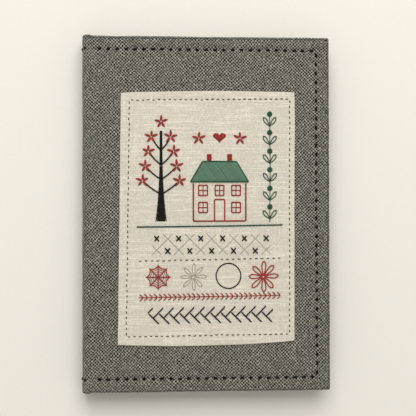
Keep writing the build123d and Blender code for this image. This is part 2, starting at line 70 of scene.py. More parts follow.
# ---- levels and lines read from the frame ----
LEFT = low("spine_cloth")[0]
RIGHT, HEAD, TOP = high("front_cloth")
FOLD_X = low("front_board")[0]  # the flat of a cover starts here
INNER = low("front_lining")[2]  # inside face of the front cover
SPINE_FACE = high("spine_lining")[0]
CORNER = FOLD_X - LEFT  # radius of the soft corner beside the spine
MIDDLE = TOP / 2
PATCH_TOP = high("linen_patch")[2]
LEAVES = (1, 2, 3, 4)
LEAF_Z = {leaf: low(f"felt_leaf_{leaf}")[2] for leaf in LEAVES}
FELT = high("felt_leaf_4")[2] - low("felt_leaf_4")[2]
LEAF_HEAD = high("felt_leaf_4")[1]
LEAF_FORE = high("felt_leaf_4")[0]

# ---- sewing sizes ----
EDGE_ROUND = 0.8  # how far a cover's edge bulges past the flat of its faces
TURN_IN = 4.0
STITCH_INSET = 5.5
STITCH_PITCH, STITCH_LENGTH, INNER_STITCH = 3.7, 1.5, 1.9
STITCH_RADIUS = 0.46
CLOTH_GRID = 0.5


# ---- numbers, noise and curves ----
def value_noise(x, y, cell, seed):
    """Smooth noise from -1 to 1 with features about one cell wide."""
    table = np.random.default_rng(seed).uniform(-1, 1, (64, 64))
    u, v = np.asarray(x) / cell + 512, np.asarray(y) / cell + 512
    i, j = np.floor(u).astype(int), np.floor(v).astype(int)
    f, g = u - i, v - j
    f, g = f * f * (3 - 2 * f), g * g * (3 - 2 * g)
    a, b = table[i % 64, j % 64], table[(i + 1) % 64, j % 64]
    c, d = table[i % 64, (j + 1) % 64], table[(i + 1) % 64, (j + 1) % 64]
    return (a * (1 - f) + b * f) * (1 - g) + (c * (1 - f) + d * f) * g


def smoothstep(x):
    x = np.clip(x, 0, 1)
    return x * x * (3 - 2 * x)


def bell(x, width):
    return np.exp(-((x / width) ** 2))


def run_along(points):
    """The distance along a polyline at each of its points."""
    return np.concatenate([[0], np.cumsum(np.linalg.norm(np.diff(points, axis=0), axis=1))])


def path_length(points):
    return np.linalg.norm(np.diff(points, axis=0), axis=1).sum()


def unit(rows):
    return rows / np.linalg.norm(rows, axis=1, keepdims=True)


def sideways(rows):
    """Each flat direction turned a quarter turn to the left."""
    return np.column_stack([-rows[:, 1], rows[:, 0]])


def heading(degrees):
    """A direction, and the one a quarter turn to its left."""
    turn = math.radians(degrees)
    return np.array([math.cos(turn), math.sin(turn)]), np.array([-math.sin(turn), math.cos(turn)])


def spaced(points, step):
    """A polyline again, with even spaces of about step."""
    points = np.asarray(points, float)
    along = run_along(points)
    at = np.linspace(0, along[-1], max(2, int(round(along[-1] / step)) + 1))
    return np.stack([np.interp(at, along, points[:, k]) for k in range(points.shape[1])], axis=1)


def rounded(points, rounds=3):
    """A polyline with its corners cut again and again, which makes a smooth curve between the same ends."""
    points = np.asarray(points, float)
    for _ in range(rounds):
        near = points[:-1] * 0.75 + points[1:] * 0.25
        far = points[:-1] * 0.25 + points[1:] * 0.75
        inner = np.stack([near, far], axis=1).reshape(-1, points.shape[1])
        points = np.concatenate([points[:1], inner[1:-1], points[-1:]])
    return points


# ---- meshes ----
def xyz(x, y, z):
    """Points from three arrays or numbers that broadcast together."""
    return np.stack(np.broadcast_arrays(x, y, z), axis=-1)


def rim_of(columns, rows):
    """The outer points of a grid, once round from its first corner."""
    return np.concatenate([
        np.arange(columns) * rows,
        (columns - 1) * rows + np.arange(1, rows),
        np.arange(columns - 2, -1, -1) * rows + rows - 1,
        np.arange(rows - 2, 0, -1),
    ])


def grid_faces(rows, columns, start=0):
    """Quads between neighbouring rows of points."""
    i, j = np.meshgrid(np.arange(rows - 1), np.arange(columns - 1), indexing="ij")
    a = (start + i * columns + j).ravel()
    return np.stack([a, a + columns, a + columns + 1, a + 1], axis=1)


def make_piece(name, points, faces, material, outward=None, weld=False, **attributes):
    """A smooth-shaded mesh from millimetre points. outward is a face index and the way it should look."""
    mesh = bpy.data.meshes.new(name)
    faces = faces.tolist() if isinstance(faces, np.ndarray) else faces
    mesh.from_pydata((np.asarray(points) * MM).tolist(), [], faces)
    for key, values in attributes.items():
        layer = mesh.attributes.new(key, "FLOAT_VECTOR", "POINT")
        layer.data.foreach_set("vector", np.asarray(values, np.float32).ravel())
    if outward is not None:
        index, direction = outward
        if np.dot(mesh.polygons[index].normal, direction) < 0:
            mesh.flip_normals()
    if weld:
        shape = bmesh.new()
        shape.from_mesh(mesh)
        bmesh.ops.remove_doubles(shape, verts=shape.verts, dist=1e-6)
        shape.to_mesh(mesh)
        shape.free()
    mesh.shade_smooth()
    mesh.materials.append(material)
    piece = bpy.data.objects.new(name, mesh)
    bpy.context.scene.collection.objects.link(piece)
    return piece


# ---- shader arithmetic ----
def feed(tree, port, value):
    """Joins a field or a socket to a port, or sets the port to a number or a colour."""
    if isinstance(value, Field):
        tree.links.new(value.socket, port)
    elif isinstance(value, tuple):
        port.default_value = (*value, 1.0)
    elif isinstance(value, bpy.types.NodeSocket):
        tree.links.new(value, port)
    else:
        port.default_value = value


class Field:
    """A number that varies over a surface, so that a pattern can be written as arithmetic."""

    def __init__(self, tree, socket):
        self.tree, self.socket = tree, socket

    def math(self, operation, *others):
        node = self.tree.nodes.new("ShaderNodeMath")
        node.operation = operation
        for port, value in zip(node.inputs, (self, *others)):
            feed(self.tree, port, value)
        return Field(self.tree, node.outputs[0])

    __add__ = partialmethod(math, "ADD")
    __sub__ = partialmethod(math, "SUBTRACT")
    __mul__ = partialmethod(math, "MULTIPLY")
    floor = partialmethod(math, "FLOOR")
    fraction = partialmethod(math, "FRACT")
    sine = partialmethod(math, "SINE")
    size = partialmethod(math, "ABSOLUTE")

    def between(self, least, most):
        """0 below least, 1 above most, and smooth between."""
        node = self.tree.nodes.new("ShaderNodeMapRange")
        node.interpolation_type = "SMOOTHSTEP"
        self.tree.links.new(self.socket, node.inputs["Value"])
        node.inputs["From Min"].default_value = least
        node.inputs["From Max"].default_value = most
        return Field(self.tree, node.outputs["Result"])

    def towards(self, other, share):
        """This value where share is 0, and other where it is 1."""
        return self + (other - self) * share


class Paint:
    """A material under construction."""

    def __init__(self, name, roughness, **sockets):
        self.material = bpy.data.materials.new(name)
        self.material.use_nodes = True
        self.tree = self.material.node_tree
        self.shader = self.tree.nodes["Principled BSDF"]
        self.shader.inputs["Roughness"].default_value = roughness
        for key, value in sockets.items():
            self.shader.inputs[key.replace("_", " ")].default_value = value

    def coordinates(self, attribute=None):
        """Three fields in millimetres: a named attribute of the mesh, or the place in the row frame."""
        if attribute:
            node = self.tree.nodes.new("ShaderNodeAttribute")
            node.attribute_name = attribute
            vector, scale = node.outputs["Vector"], 1.0
        else:
            vector, scale = self.tree.nodes.new("ShaderNodeTexCoord").outputs["Object"], 1 / MM
        split = self.tree.nodes.new("ShaderNodeSeparateXYZ")
        self.tree.links.new(vector, split.inputs[0])
        return [Field(self.tree, out) * scale for out in split.outputs]

    def vector(self, x, y, z=0.0):
        join = self.tree.nodes.new("ShaderNodeCombineXYZ")
        for port, value in zip(join.inputs, (x, y, z)):
            feed(self.tree, port, value)
        return join.outputs[0]

    def noise(self, x, y, z=0.0, detail=2.0, scale=1.0):
        """Soft noise, about 0 to 1."""
        node = self.tree.nodes.new("ShaderNodeTexNoise")
        self.tree.links.new(self.vector(x, y, z), node.inputs["Vector"])
        node.inputs["Scale"].default_value = scale
        node.inputs["Detail"].default_value = detail
        return Field(self.tree, node.outputs["Fac"])

    def random(self, x, y):
        """A different number from 0 to 1 for each pair of whole numbers."""
        node = self.tree.nodes.new("ShaderNodeTexWhiteNoise")
        node.noise_dimensions = "2D"
        self.tree.links.new(self.vector(x, y), node.inputs["Vector"])
        return Field(self.tree, node.outputs["Value"])

    def mix(self, share, first, second, blend="MIX"):
        """A colour socket: first where share is 0, and where it is 1 second, or its product with first."""
        node = self.tree.nodes.new("ShaderNodeMix")
        node.data_type, node.blend_type = "RGBA", blend
        for port, value in (("Factor", share), (6, first), (7, second)):
            feed(self.tree, node.inputs[port], value)
        return node.outputs[2]

    def colour(self, socket):
        self.tree.links.new(socket, self.shader.inputs["Base Color"])

    def rough(self, field):
        self.tree.links.new(field.socket, self.shader.inputs["Roughness"])

    def bump(self, height, depth_mm):
        """height is a field from 0 to 1, and depth_mm what 1 stands for."""
        node = self.tree.nodes.new("ShaderNodeBump")
        node.inputs["Distance"].default_value = depth_mm * MM
        node.inputs["Strength"].default_value = 1.0
        self.tree.links.new(height.socket, node.inputs["Height"])
        self.tree.links.new(node.outputs[0], self.shader.inputs["Normal"])


def plain_weave(u, v, pitch):
    """A plain weave over millimetre fields: height, where the warp is on top, and warp and weft numbers."""
    across, along = u * (1 / pitch), v * (1 / pitch)
    warp, weft = across.floor(), along.floor()
    over = ((warp + weft) * 0.5).fraction() * 2
    a = (across.fraction() - 0.5).size() * 2
    b = (along.fraction() - 0.5).size() * 2
    warp_height = (a * a * -1 + 1) * (b * b * -0.6 + 1)
    weft_height = (b * b * -1 + 1) * (a * a * -0.6 + 1)
    return weft_height.towards(warp_height, over), over, warp, weft


# ---- materials ----
WOOL_CELL = 0.68  # pitch of the wool's threads


def wool_material():
    """Heathered wool: a light warp and a dark weft, each thread of its own shade, slightly out of true."""
    paint = Paint("heathered_wool", 0.95, Sheen_Weight=0.12, Sheen_Roughness=0.5, Specular_IOR_Level=0.2)
    s, t, _ = paint.coordinates("cloth_mm")

    def wander(wide, fine):
        """How far the threads are out of true: slow waves with quick ones on them."""
        slow = paint.noise(s + wide, t, scale=0.12, detail=1.0) * 1.4
        return slow + paint.noise(s + fine, t, scale=0.8, detail=1.0) * 0.8

    height, over, warp, weft = plain_weave(s + wander(0, 30), t + wander(90, 60), WOOL_CELL)
    fleck = paint.random(warp, weft)
    streak = paint.random(warp, (weft * 0.2).floor()) * 0.5
    streak = streak + paint.random((warp * 0.2).floor(), weft + 40) * 0.5
    light = paint.mix(fleck, (0.20, 0.194, 0.172), (0.335, 0.324, 0.29))
    dark = paint.mix(streak, (0.002, 0.002, 0.0015), (0.028, 0.026, 0.021))
    threads = paint.mix(over, dark, light)
    tint = paint.mix(paint.noise(s, t, scale=0.35), (0.91, 0.95, 0.90), (1.05, 1.0, 0.98))
    paint.colour(paint.mix(1.0, threads, tint, "MULTIPLY"))
    fuzz = paint.noise(s, t, scale=5.0, detail=4.0)
    paint.bump(height * 0.8 + fuzz * 0.35, 0.09)
    return paint.material


def linen_material(name, pale, deep, pitch, slub):
    """Natural linen or cotton: even threads with here and there a thick one, and painted shade in the hollows
    between the threads.
    """
    paint = Paint(name, 0.9, Sheen_Weight=0.08, Sheen_Roughness=0.5, Specular_IOR_Level=0.25)
    s, t, _ = paint.coordinates("cloth_mm")
    wander = paint.noise(s, t, scale=0.08, detail=1.0) * 1.6
    height, _, warp, weft = plain_weave(s + wander, t + wander, pitch)
    run_s = paint.noise(s * 0.05, weft * 0.7, scale=1.0, detail=2.0)
    run_t = paint.noise(warp * 0.7, t * 0.05, scale=1.0, detail=2.0)
    thick = run_s.between(0.45, 0.75) * 0.65 + run_t.between(0.5, 0.8) * 0.35
    # height lightens the thread crowns: painted shade in the hollows of the weave, on top of the threads' own
    # tone and slubs
    shade = thick * slub + paint.random(warp, weft) * 0.25 + height * 0.45
    shade = shade - (weft * 0.5).fraction() * 0.22 * paint.noise(s * 0.04, t * 0.5, scale=1.0)
    paint.colour(paint.mix(shade.between(0.0, 1.0), deep, pale))
    paint.bump(height * 0.7 + thick * 0.5, 0.12)
    return paint.material


def felt_material():
    """Pressed wool felt: no weave, only matted fibres."""
    paint = Paint("cream_felt", 0.97, Sheen_Weight=0.3, Sheen_Roughness=0.6, Specular_IOR_Level=0.15)
    x, y, z = paint.coordinates()
    mat = paint.noise(x, y, z, detail=6.0, scale=0.55)
    fibre = paint.noise(x * 0.6 + y * 2.5, y * 0.6 - x * 2.5, z, detail=5.0, scale=1.2)
    pale = (mat * 0.6 + fibre * 0.4).between(0.3, 0.7)
    paint.colour(paint.mix(pale, (0.54, 0.47, 0.37), (0.82, 0.76, 0.66)))
    paint.bump(mat * 0.6 + fibre * 0.5, 0.14)
    return paint.material


def floss_material(name, dark, light, twist=1.1, gloss=0.3):
    """Sewing thread or stranded cotton: the plies show as a slanting ripple along each stitch, in the bump
    and as painted shade in the grooves between them.
    """
    paint = Paint(name, 0.68, Sheen_Weight=gloss * 0.3, Sheen_Roughness=0.4, Specular_IOR_Level=gloss)
    along, turn, own = paint.coordinates("thread")
    ply = ((along * (1 / twist) + turn) * (4 * math.pi)).sine() * 0.5 + 0.5
    hair = paint.noise(along * 1.5, turn * 9, own * 40, detail=3.0, scale=1.0)
    # ply lightens the crest of each ply: painted shade in the twist grooves; own and hair give the thread's
    # own random tone
    paint.colour(paint.mix(own * 0.45 + hair * 0.35 + ply * 0.2, dark, light))
    paint.bump(ply * 0.7 + hair * 0.4, 0.07)
    return paint.material


def steel_material():
    """Nickel-plated needle steel, drawn along its length."""
    paint = Paint("needle_steel", 0.22, Metallic=1.0)
    x, y, z = paint.coordinates()
    grain = paint.noise(x * 9, y * 0.25, z * 9, detail=3.0, scale=1.0)
    paint.colour(paint.mix(grain, (0.62, 0.62, 0.63), (0.86, 0.85, 0.84)))
    paint.rough(grain * 0.18 + 0.14)
    paint.bump(grain, 0.004)
    return paint.material


def board_material():
    """Grey millboard, seen only where the covers are cut open."""
    paint = Paint("mill_board", 0.9)
    x, y, z = paint.coordinates()
    pulp = paint.noise(x, y, z, detail=5.0, scale=1.1)
    paint.colour(paint.mix(pulp, (0.28, 0.25, 0.21), (0.46, 0.42, 0.36)))
    paint.bump(pulp, 0.05)
    return paint.material


def floor_material():
    """Smooth warm white paper."""
    paint = Paint("pale_floor", 0.85, Specular_IOR_Level=0.2)
    x, y, _ = paint.coordinates()
    tooth = paint.noise(x, y, detail=4.0, scale=0.6)
    paint.colour(paint.mix(tooth, (0.75, 0.728, 0.678), (0.78, 0.753, 0.703)))
    paint.bump(tooth, 0.02)
    return paint.material


WOOL = wool_material()
LINEN = linen_material("natural_linen", (0.90, 0.85, 0.73), (0.50, 0.465, 0.385), 0.42, 0.42)
LINING = linen_material("lining_cotton", (0.66, 0.585, 0.475), (0.36, 0.315, 0.25), 0.36, 0.5)
FELT_WOOL = felt_material()
EDGE_THREAD = floss_material("edge_thread", (0.002, 0.002, 0.002), (0.010, 0.010, 0.009), 1.4, 0.1)
STEEL = steel_material()
BOARD = board_material()
BINDING = floss_material("binding_linen", (0.42, 0.37, 0.28), (0.74, 0.68, 0.56))
RED_FLOSS = floss_material("red_floss", (0.17, 0.008, 0.008), (0.42, 0.036, 0.027))
BLACK_FLOSS = floss_material("black_floss", (0.003, 0.0035, 0.003), (0.014, 0.015, 0.013), 1.1, 0.12)
DEEP_GREEN = floss_material("deep_green_floss", (0.005, 0.036, 0.022), (0.018, 0.105, 0.062))
ROOF_FLOSS = floss_material("roof_green_floss", (0.045, 0.115, 0.075), (0.15, 0.275, 0.19))
GREY_FLOSS = floss_material("grey_floss", (0.26, 0.245, 0.19), (0.46, 0.44, 0.36))
HEM_FLOSS = floss_material("hem_thread", (0.035, 0.026, 0.015), (0.12, 0.095, 0.06))
FLOSS_SLOTS = {
    RED_FLOSS: "red_floss",
    BLACK_FLOSS: "black_floss",
    DEEP_GREEN: "deep_green_floss",
    GREY_FLOSS: "grey_floss",
    HEM_FLOSS: "hem_thread",
}


# ---- the outer cloth ----
WALL = MIDDLE - CORNER  # from the middle of the spine to where the corner starts
BEND = CORNER * math.pi / 2
FLAT_START = WALL + BEND
CLOTH_END = FLAT_START + RIGHT - EDGE_ROUND - FOLD_X  # where the fore edge starts to round
ROW_X = RIGHT - STITCH_INSET
ROW_Y = HEAD - STITCH_INSET
ROW_S = FLAT_START + ROW_X - FOLD_X
HEAD_PITCH = (ROW_X - FOLD_X - STITCH_PITCH / 2) / round((ROW_X - FOLD_X - STITCH_PITCH / 2) / STITCH_PITCH)
FORE_PITCH = 2 * ROW_Y / round(2 * ROW_Y / STITCH_PITCH)


def section(s):
    """Where the outer cloth is, s millimetres from the middle of the spine: x, z and the way it faces."""
    turn = np.clip((s - WALL) / CORNER, 0, math.pi / 2)
    x = FOLD_X - CORNER * np.cos(turn) + np.maximum(s - FLAT_START, 0)
    z = MIDDLE + np.minimum(s, WALL) + CORNER * np.sin(turn)
    return x, z, -np.cos(turn), np.sin(turn)


def dimples(along, across, first, last, pitch, length):
    """How far a row of stitches pulls the cloth down, in millimetres."""
    place = np.mod(first - along, pitch) / pitch - 0.5
    ends = bell(np.abs(place) * pitch - length / 2 * 0.8, 0.5)
    inside = smoothstep((along - last) / 1.0 + 1) * smoothstep((first - along) / 1.0 + 1)
    return inside * (0.34 * ends * bell(across, 0.62) + 0.2 * bell(across, 0.9))


def cloth_relief(s, t):
    """Height of the outer cloth over its plain section: slight waves, and puckers along the stitching."""
    waves = 0.07 * value_noise(s, t, 17, 1) + 0.05 * value_noise(s, t, 6, 2) + 0.02 * value_noise(s, t, 2, 3)
    rows = dimples(s, np.abs(t) - ROW_Y, ROW_S, 0, HEAD_PITCH, STITCH_LENGTH)
    rows += dimples(t, s - ROW_S, ROW_Y, -ROW_Y, FORE_PITCH, STITCH_LENGTH)
    beside = bell(np.abs(t) - ROW_Y - 2.2, 1.3) + bell(s - ROW_S - 2.2, 1.3) * (np.abs(t) < ROW_Y + 2)
    return waves - rows + 0.1 * beside


def rested(z, level):
    """Heights on the underside, pressed up to level where the case lies on the floor."""
    return level + 0.5 * (z - level + np.sqrt((z - level) ** 2 + 0.05 ** 2))


def spine_growth(s, t):
    """At head and tail the roll of the spine stands a little past the covers."""
    near_end = smoothstep((np.abs(t) - 60) / 10)
    return np.sign(t) * 0.38 * near_end * (1 - smoothstep((s - FLAT_START + 1.5) / 3))


def on_cloth(s, t, lift=0.0):
    """Points on the front half of the outer cloth, lifted off it by lift."""
    s, t = np.broadcast_arrays(np.asarray(s, float), np.asarray(t, float))
    x, z, nx, nz = section(s)
    rise = cloth_relief(s, t) + lift
    return xyz(x + nx * rise, t + spine_growth(s, t), z + nz * rise)


def cloth_depth(s):
    """From the outer face of the cloth to the face of its turned-in edge."""
    marks = [0, WALL, WALL + 0.5, FLAT_START, FLAT_START + 0.9]
    depths = [1.5, 1.45, 1.15, 1.15, TOP - INNER - 0.1]
    return np.interp(s, marks, depths)


def cover_rim(s_line, t_line):
    """The edge of a cover's cloth, from the spine round head, fore edge and tail back to the spine. Each
    place has s, t, the way the edge bulges (in x and y) and the way the turned-in cloth runs."""
    end_s, end_t = s_line[-1], t_line[-1]
    near_s = smoothstep((s_line - end_s + 7) / 7)
    near_t = smoothstep((np.abs(t_line) - end_t + 7) / 7) * np.sign(t_line)
    ones_s, ones_t = np.ones_like(s_line), np.ones_like(t_line)
    head = np.stack([s_line, end_t * ones_s, 0 * ones_s, ones_s, -near_s, -ones_s], axis=1)
    fore = np.stack([end_s * ones_t, t_line, ones_t, 0 * ones_t, -ones_t, -near_t], axis=1)[::-1]
    turn = np.linspace(0, math.pi / 2, 6)
    corner, back = np.full((6, 2), (end_s, end_t)), -np.ones((6, 2))
    turned = np.column_stack([corner, np.sin(turn), np.cos(turn), back])
    below = turned[::-1] * np.array([1, -1, 1, -1, 1, -1])
    tail = head[::-1] * np.array([1, -1, 1, -1, 1, -1])
    return np.concatenate([head, turned, fore, below, tail])


def cover_cloth(front):
    """Half of the outer cloth: from the middle of the spine over one cover and round its edges to the
    turned-in hem inside."""
    s_line = np.linspace(0, CLOTH_END, int(CLOTH_END / CLOTH_GRID))
    end_t = HEAD - EDGE_ROUND
    t_line = np.linspace(-end_t, end_t, int(2 * end_t / CLOTH_GRID))
    s, t = np.meshgrid(s_line, t_line, indexing="ij")
    shift = 0 if front else 300
    points = [on_cloth(s, t).reshape(-1, 3)]
    marks = [xyz(s + shift, t, 0.0).reshape(-1, 3)]
    faces = [grid_faces(len(s_line), len(t_line))]

    rim = cover_rim(s_line, t_line)
    rs, rt, bulge, run = rim[:, 0], rim[:, 1], rim[:, 2:4], rim[:, 4:6]
    outer = on_cloth(rs, rt)
    _, _, nx, nz = section(rs)
    facing = xyz(nx, 0.0, nz)
    outward, inward = np.column_stack([bulge, 0 * rs]), np.column_stack([run, 0 * rs])
    inner = outer - facing * (cloth_depth(rs) + cloth_relief(rs, rt))[:, None]
    wobble = EDGE_ROUND + 0.09 * value_noise(rs, rt, 9, 4) + 0.05 * value_noise(rs, rt, 2.5, 5)
    rings, tracks = [], []
    for angle in np.linspace(0, math.pi, 9):
        out = outward * (wobble * math.sin(angle))[:, None]
        rings.append((outer + inner) / 2 + (outer - inner) / 2 * math.cos(angle) + out)
        tracks.append(angle * EDGE_ROUND * bulge)
    for reach in np.linspace(0.5, TURN_IN - EDGE_ROUND, 5):
        rings.append(inner + inward * reach)
        tracks.append((math.pi * EDGE_ROUND + reach) * bulge)
    rings.append(rings[-1] + facing * 0.4)
    tracks.append(tracks[-1] + bulge * 0.4)
    start = len(points[0])
    points.append(np.concatenate(rings))
    marks += [xyz(rs + shift + k[:, 0], rt + k[:, 1], 0.0) for k in tracks]
    faces.append(grid_faces(len(rings), len(rim), start))
    points = np.concatenate(points)
    if not front:
        points[:, 2] = rested(TOP - points[:, 2], 0.12)
    side = "front" if front else "back"
    away = (0, 0, 1 if front else -1)
    middle = (len(s_line) - 20) * (len(t_line) - 1) + len(t_line) // 2
    return make_piece(f"{side}_cover_cloth", points, np.concatenate(faces), WOOL, (middle, away), True,
                      cloth_mm=np.concatenate(marks))


def corner_blend(piece):
    """Bakes a piece's placement into its mesh."""
    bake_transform(piece)


def build_cloth():
    for side, nodes in (("front", ("front_cloth", "spine_cloth")), ("back", ("back_cloth",))):
        front = side == "front"
        piece = cover_cloth(front)
        corner_blend(piece)
        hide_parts(*nodes)


# ---- the lining ----
LINING_EDGE = 3.4  # from the edges of the cover to the lining's folded edge
LINING_STEP = 1.2


def lining_path():
    """From the middle of the spine, through a slack fold in the gutter, to the lining's edge: x and z."""
    gutter = [(SPINE_FACE, MIDDLE), (SPINE_FACE, 8.6), (SPINE_FACE + 0.05, 9.4), (-48.7, 10.25),
              (-47.9, 10.25), (-47.3, INNER + 0.05), (-46.6, INNER)]
    path = spaced(rounded(gutter), 0.5)
    flat = np.arange(path[-1, 0] + LINING_STEP, RIGHT - LINING_EDGE - 0.6, LINING_STEP)
    edge = [(RIGHT - LINING_EDGE - 0.5, INNER), (RIGHT - LINING_EDGE - 0.12, INNER + 0.04),
            (RIGHT - LINING_EDGE, INNER + 0.2), (RIGHT - LINING_EDGE - 0.25, INNER + 0.4)]
    return np.concatenate([path, np.stack([flat, np.full(len(flat), INNER)], axis=1), edge])


def build_lining():
    for front in (True, False):
        path = lining_path()
        along = run_along(path)
        side = HEAD - LINING_EDGE
        rows = np.arange(-side + 0.5, side - 0.4, LINING_STEP)
        t_line = np.concatenate([[-side + 0.25, -side, -side + 0.12], rows, [side - 0.12, side, side - 0.25]])
        drop = np.concatenate([[0.4, 0.2, 0.04], np.zeros(len(rows)), [0.04, 0.2, 0.4]])
        flat_part = smoothstep((path[:, 0] + 46) / 4)[:, None]
        wave = 0.05 * value_noise(along[:, None], t_line[None, :], 9, 21 + front) * flat_part
        wave += inner_row_dips(path[:, 0][:, None], t_line[None, :])
        points = xyz(path[:, :1], t_line, path[:, 1:] + wave + drop * flat_part)
        if not front:
            points[..., 2] = TOP - points[..., 2]
        marks = xyz(along[:, None] + 500, t_line, 0.0)
        name = "front_cover_lining" if front else "back_cover_lining"
        shape = points.reshape(-1, 3)
        middle = (len(path) // 2) * (len(t_line) - 1) + len(t_line) // 2
        piece = make_piece(name, shape, grid_faces(len(path), len(t_line)), LINING,
                           (middle, (0, 0, -1 if front else 1)), cloth_mm=marks.reshape(-1, 3))
        level = (lambda z: z) if front else (lambda z: TOP - z)
        start, end = np.array([SPINE_FACE, 0, level(8.8)]) * MM, np.array([-47.0, 0, level(INNER)]) * MM
        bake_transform(piece)
        if front:
            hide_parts("front_lining", "spine_lining")
        else:
            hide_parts("back_lining")


def inner_row_dips(x, t):
    """The lining is drawn towards the board where the edge stitches pass through it."""
    rows = bell(np.abs(t) - ROW_Y, 0.8) * smoothstep((x + 46) / 2) * (x < ROW_X + 1)
    return 0.14 * np.maximum(rows, bell(x - ROW_X, 0.8) * (np.abs(t) < ROW_Y + 1))


# ---- threads ----
class Threads:
    """Laid threads, gathered into one mesh."""

    def __init__(self, seed, level=None):
        self.random = np.random.default_rng(seed)
        self.level = level
        self.points, self.marks, self.faces, self.count = [], [], [], 0

    def tube(self, path, radius, up=(0, 0, 1), flatten=0.85, sides=6):
        """A closed round thread along path. up is the way the cloth under it faces."""
        path = np.asarray(path, float)
        n = len(path)
        radius = np.broadcast_to(np.asarray(radius, float), (n,)).copy()
        radius[[0, -1]] *= 0.45
        run = unit(np.gradient(path, axis=0))
        side = unit(np.cross(np.broadcast_to(up, run.shape), run))
        rise = np.cross(run, side)
        turn = np.arange(sides) * 2 * math.pi / sides
        ring = side[:, None] * np.cos(turn)[:, None] + rise[:, None] * (flatten * np.sin(turn))[:, None]
        along = run_along(path)
        own = self.random.uniform()
        mark = xyz(along[:, None] + own * 7, turn / (2 * math.pi), own)
        self.points.append((path[:, None] + ring * radius[:, None, None]).reshape(-1, 3))
        self.marks.append(mark.reshape(-1, 3))
        i, j = np.meshgrid(np.arange(n - 1), np.arange(sides), indexing="ij")
        a, b = self.count + i * sides + j, self.count + i * sides + (j + 1) % sides
        self.faces += np.stack([a, b, b + sides, a + sides], axis=-1).reshape(-1, 4).tolist()
        self.faces.append(list(range(self.count + sides - 1, self.count - 1, -1)))
        self.faces.append(list(range(self.count + (n - 1) * sides, self.count + n * sides)))
        self.count += n * sides

    def press(self):
        """Flattens the threads where they lie against the floor."""
        for points in self.points:
            points[:, 2] = rested(points[:, 2], 0.0)

    def on_linen(self, points, radius, lift=0.0, arch=0.1):
        """A stitch over flat points: it stands off the linen in the middle and dives in at both ends."""
        points = np.asarray(points, float)
        share = np.linspace(0, 1, len(points))
        dive = np.minimum(share, 1 - share) * path_length(points)
        height = self.level(points[:, 0], points[:, 1]) + lift + radius * 0.55
        sunk = (radius * 2.1) * (1 - smoothstep(dive / (radius * 1.6)))
        height += arch * np.sin(math.pi * share) ** 0.7 - sunk
        self.tube(np.column_stack([points, height]), radius)

    def stitch(self, a, b, radius, lift=0.0, arch=0.08, bow=0.0, steps=8):
        """One straight stitch from a to b, bowed sideways by bow."""
        a, b = np.asarray(a, float), np.asarray(b, float)
        share = np.linspace(0, 1, steps)[:, None]
        length = np.linalg.norm(b - a)
        across = np.array([a[1] - b[1], b[0] - a[0]]) / length
        bow = bow + self.random.uniform(-0.03, 0.03)
        self.on_linen(a + (b - a) * share + across * bow * np.sin(math.pi * share), radius, lift, arch)

    def back_stitch(self, line, length, radius, lift=0.0, overlap=0.3, jitter=0.04):
        """Stitches end to end along a line, each starting just inside the one before."""
        line = np.asarray(line, float)
        total = path_length(line)
        path = spaced(line, total / (max(1, round(total / length)) * 6))
        count = (len(path) - 1) // 6
        ends = path[::6] + self.random.uniform(-jitter, jitter, (count + 1, 2))
        for k in range(count):
            share = np.linspace(0, 1, 7)[:, None]
            piece = path[k * 6:k * 6 + 7]
            piece = piece + (ends[k] - piece[0]) * (1 - share) + (ends[k + 1] - piece[-1]) * share
            step = (piece[-1] - piece[0]) / np.linalg.norm(piece[-1] - piece[0]) * overlap / 2
            piece[0], piece[-1] = piece[0] - step, piece[-1] + step
            self.on_linen(spaced(piece, 0.25), radius, lift, 0.05)

    def stem_stitch(self, line, length, radius, offset=0.1, lift=0.0):
        """A rope of stitches that each start half way along the one before."""
        path = spaced(line, 0.3)
        along = np.linspace(0, path_length(path), len(path))
        across = unit(sideways(np.gradient(path, axis=0)))
        for start in np.arange(-length / 2, along[-1] - length * 0.25, length / 2):
            picked = (along >= start - 1e-6) & (along <= start + length)
            if picked.sum() < 4:
                continue
            share = np.clip((along[picked] - start) / length, 0, 1)[:, None]
            self.on_linen(path[picked] + across[picked] * offset * (1 - 2 * share), radius, lift, 0.1)

    def petal(self, root, angle, near, far, width, radius, strands=3, lift=0.0):
        """A filled petal of bowed strands."""
        way, across = heading(angle)
        share = np.linspace(0, 1, 10)
        belly = np.sin(math.pi * share ** 0.85)
        order = np.linspace(-1, 1, strands)
        for offset in sorted(order, key=abs, reverse=True):
            reach = far - 0.25 * abs(offset)
            along = near + 0.15 * abs(offset) + (reach - near) * share
            side = offset * (width / 2 - radius) * belly
            points = np.asarray(root) + along[:, None] * way + side[:, None] * across
            self.on_linen(points, radius, lift + 0.06 * (1 - abs(offset)), 0.1)

    def loop(self, root, angle, near, far, width, radius, bend=0.0):
        """A lazy-daisy petal: an open loop with a small stitch over its tip."""
        way, across = heading(angle)
        turn = np.linspace(0, 2 * math.pi, 34)
        along = near + (far - near) * (0.5 - 0.5 * np.cos(turn))
        side = width / 2 * np.sin(turn) * (0.62 - 0.38 * np.cos(turn)) * 1.25
        side += bend * (along / far) ** 2
        points = np.asarray(root) + along[:, None] * way + side[:, None] * across
        self.on_linen(points, radius, 0.0, 0.06)
        tip = np.asarray(root) + way * far + across * bend
        self.stitch(tip - way * 0.15, tip + way * 0.45, radius * 0.9, lift=0.08)

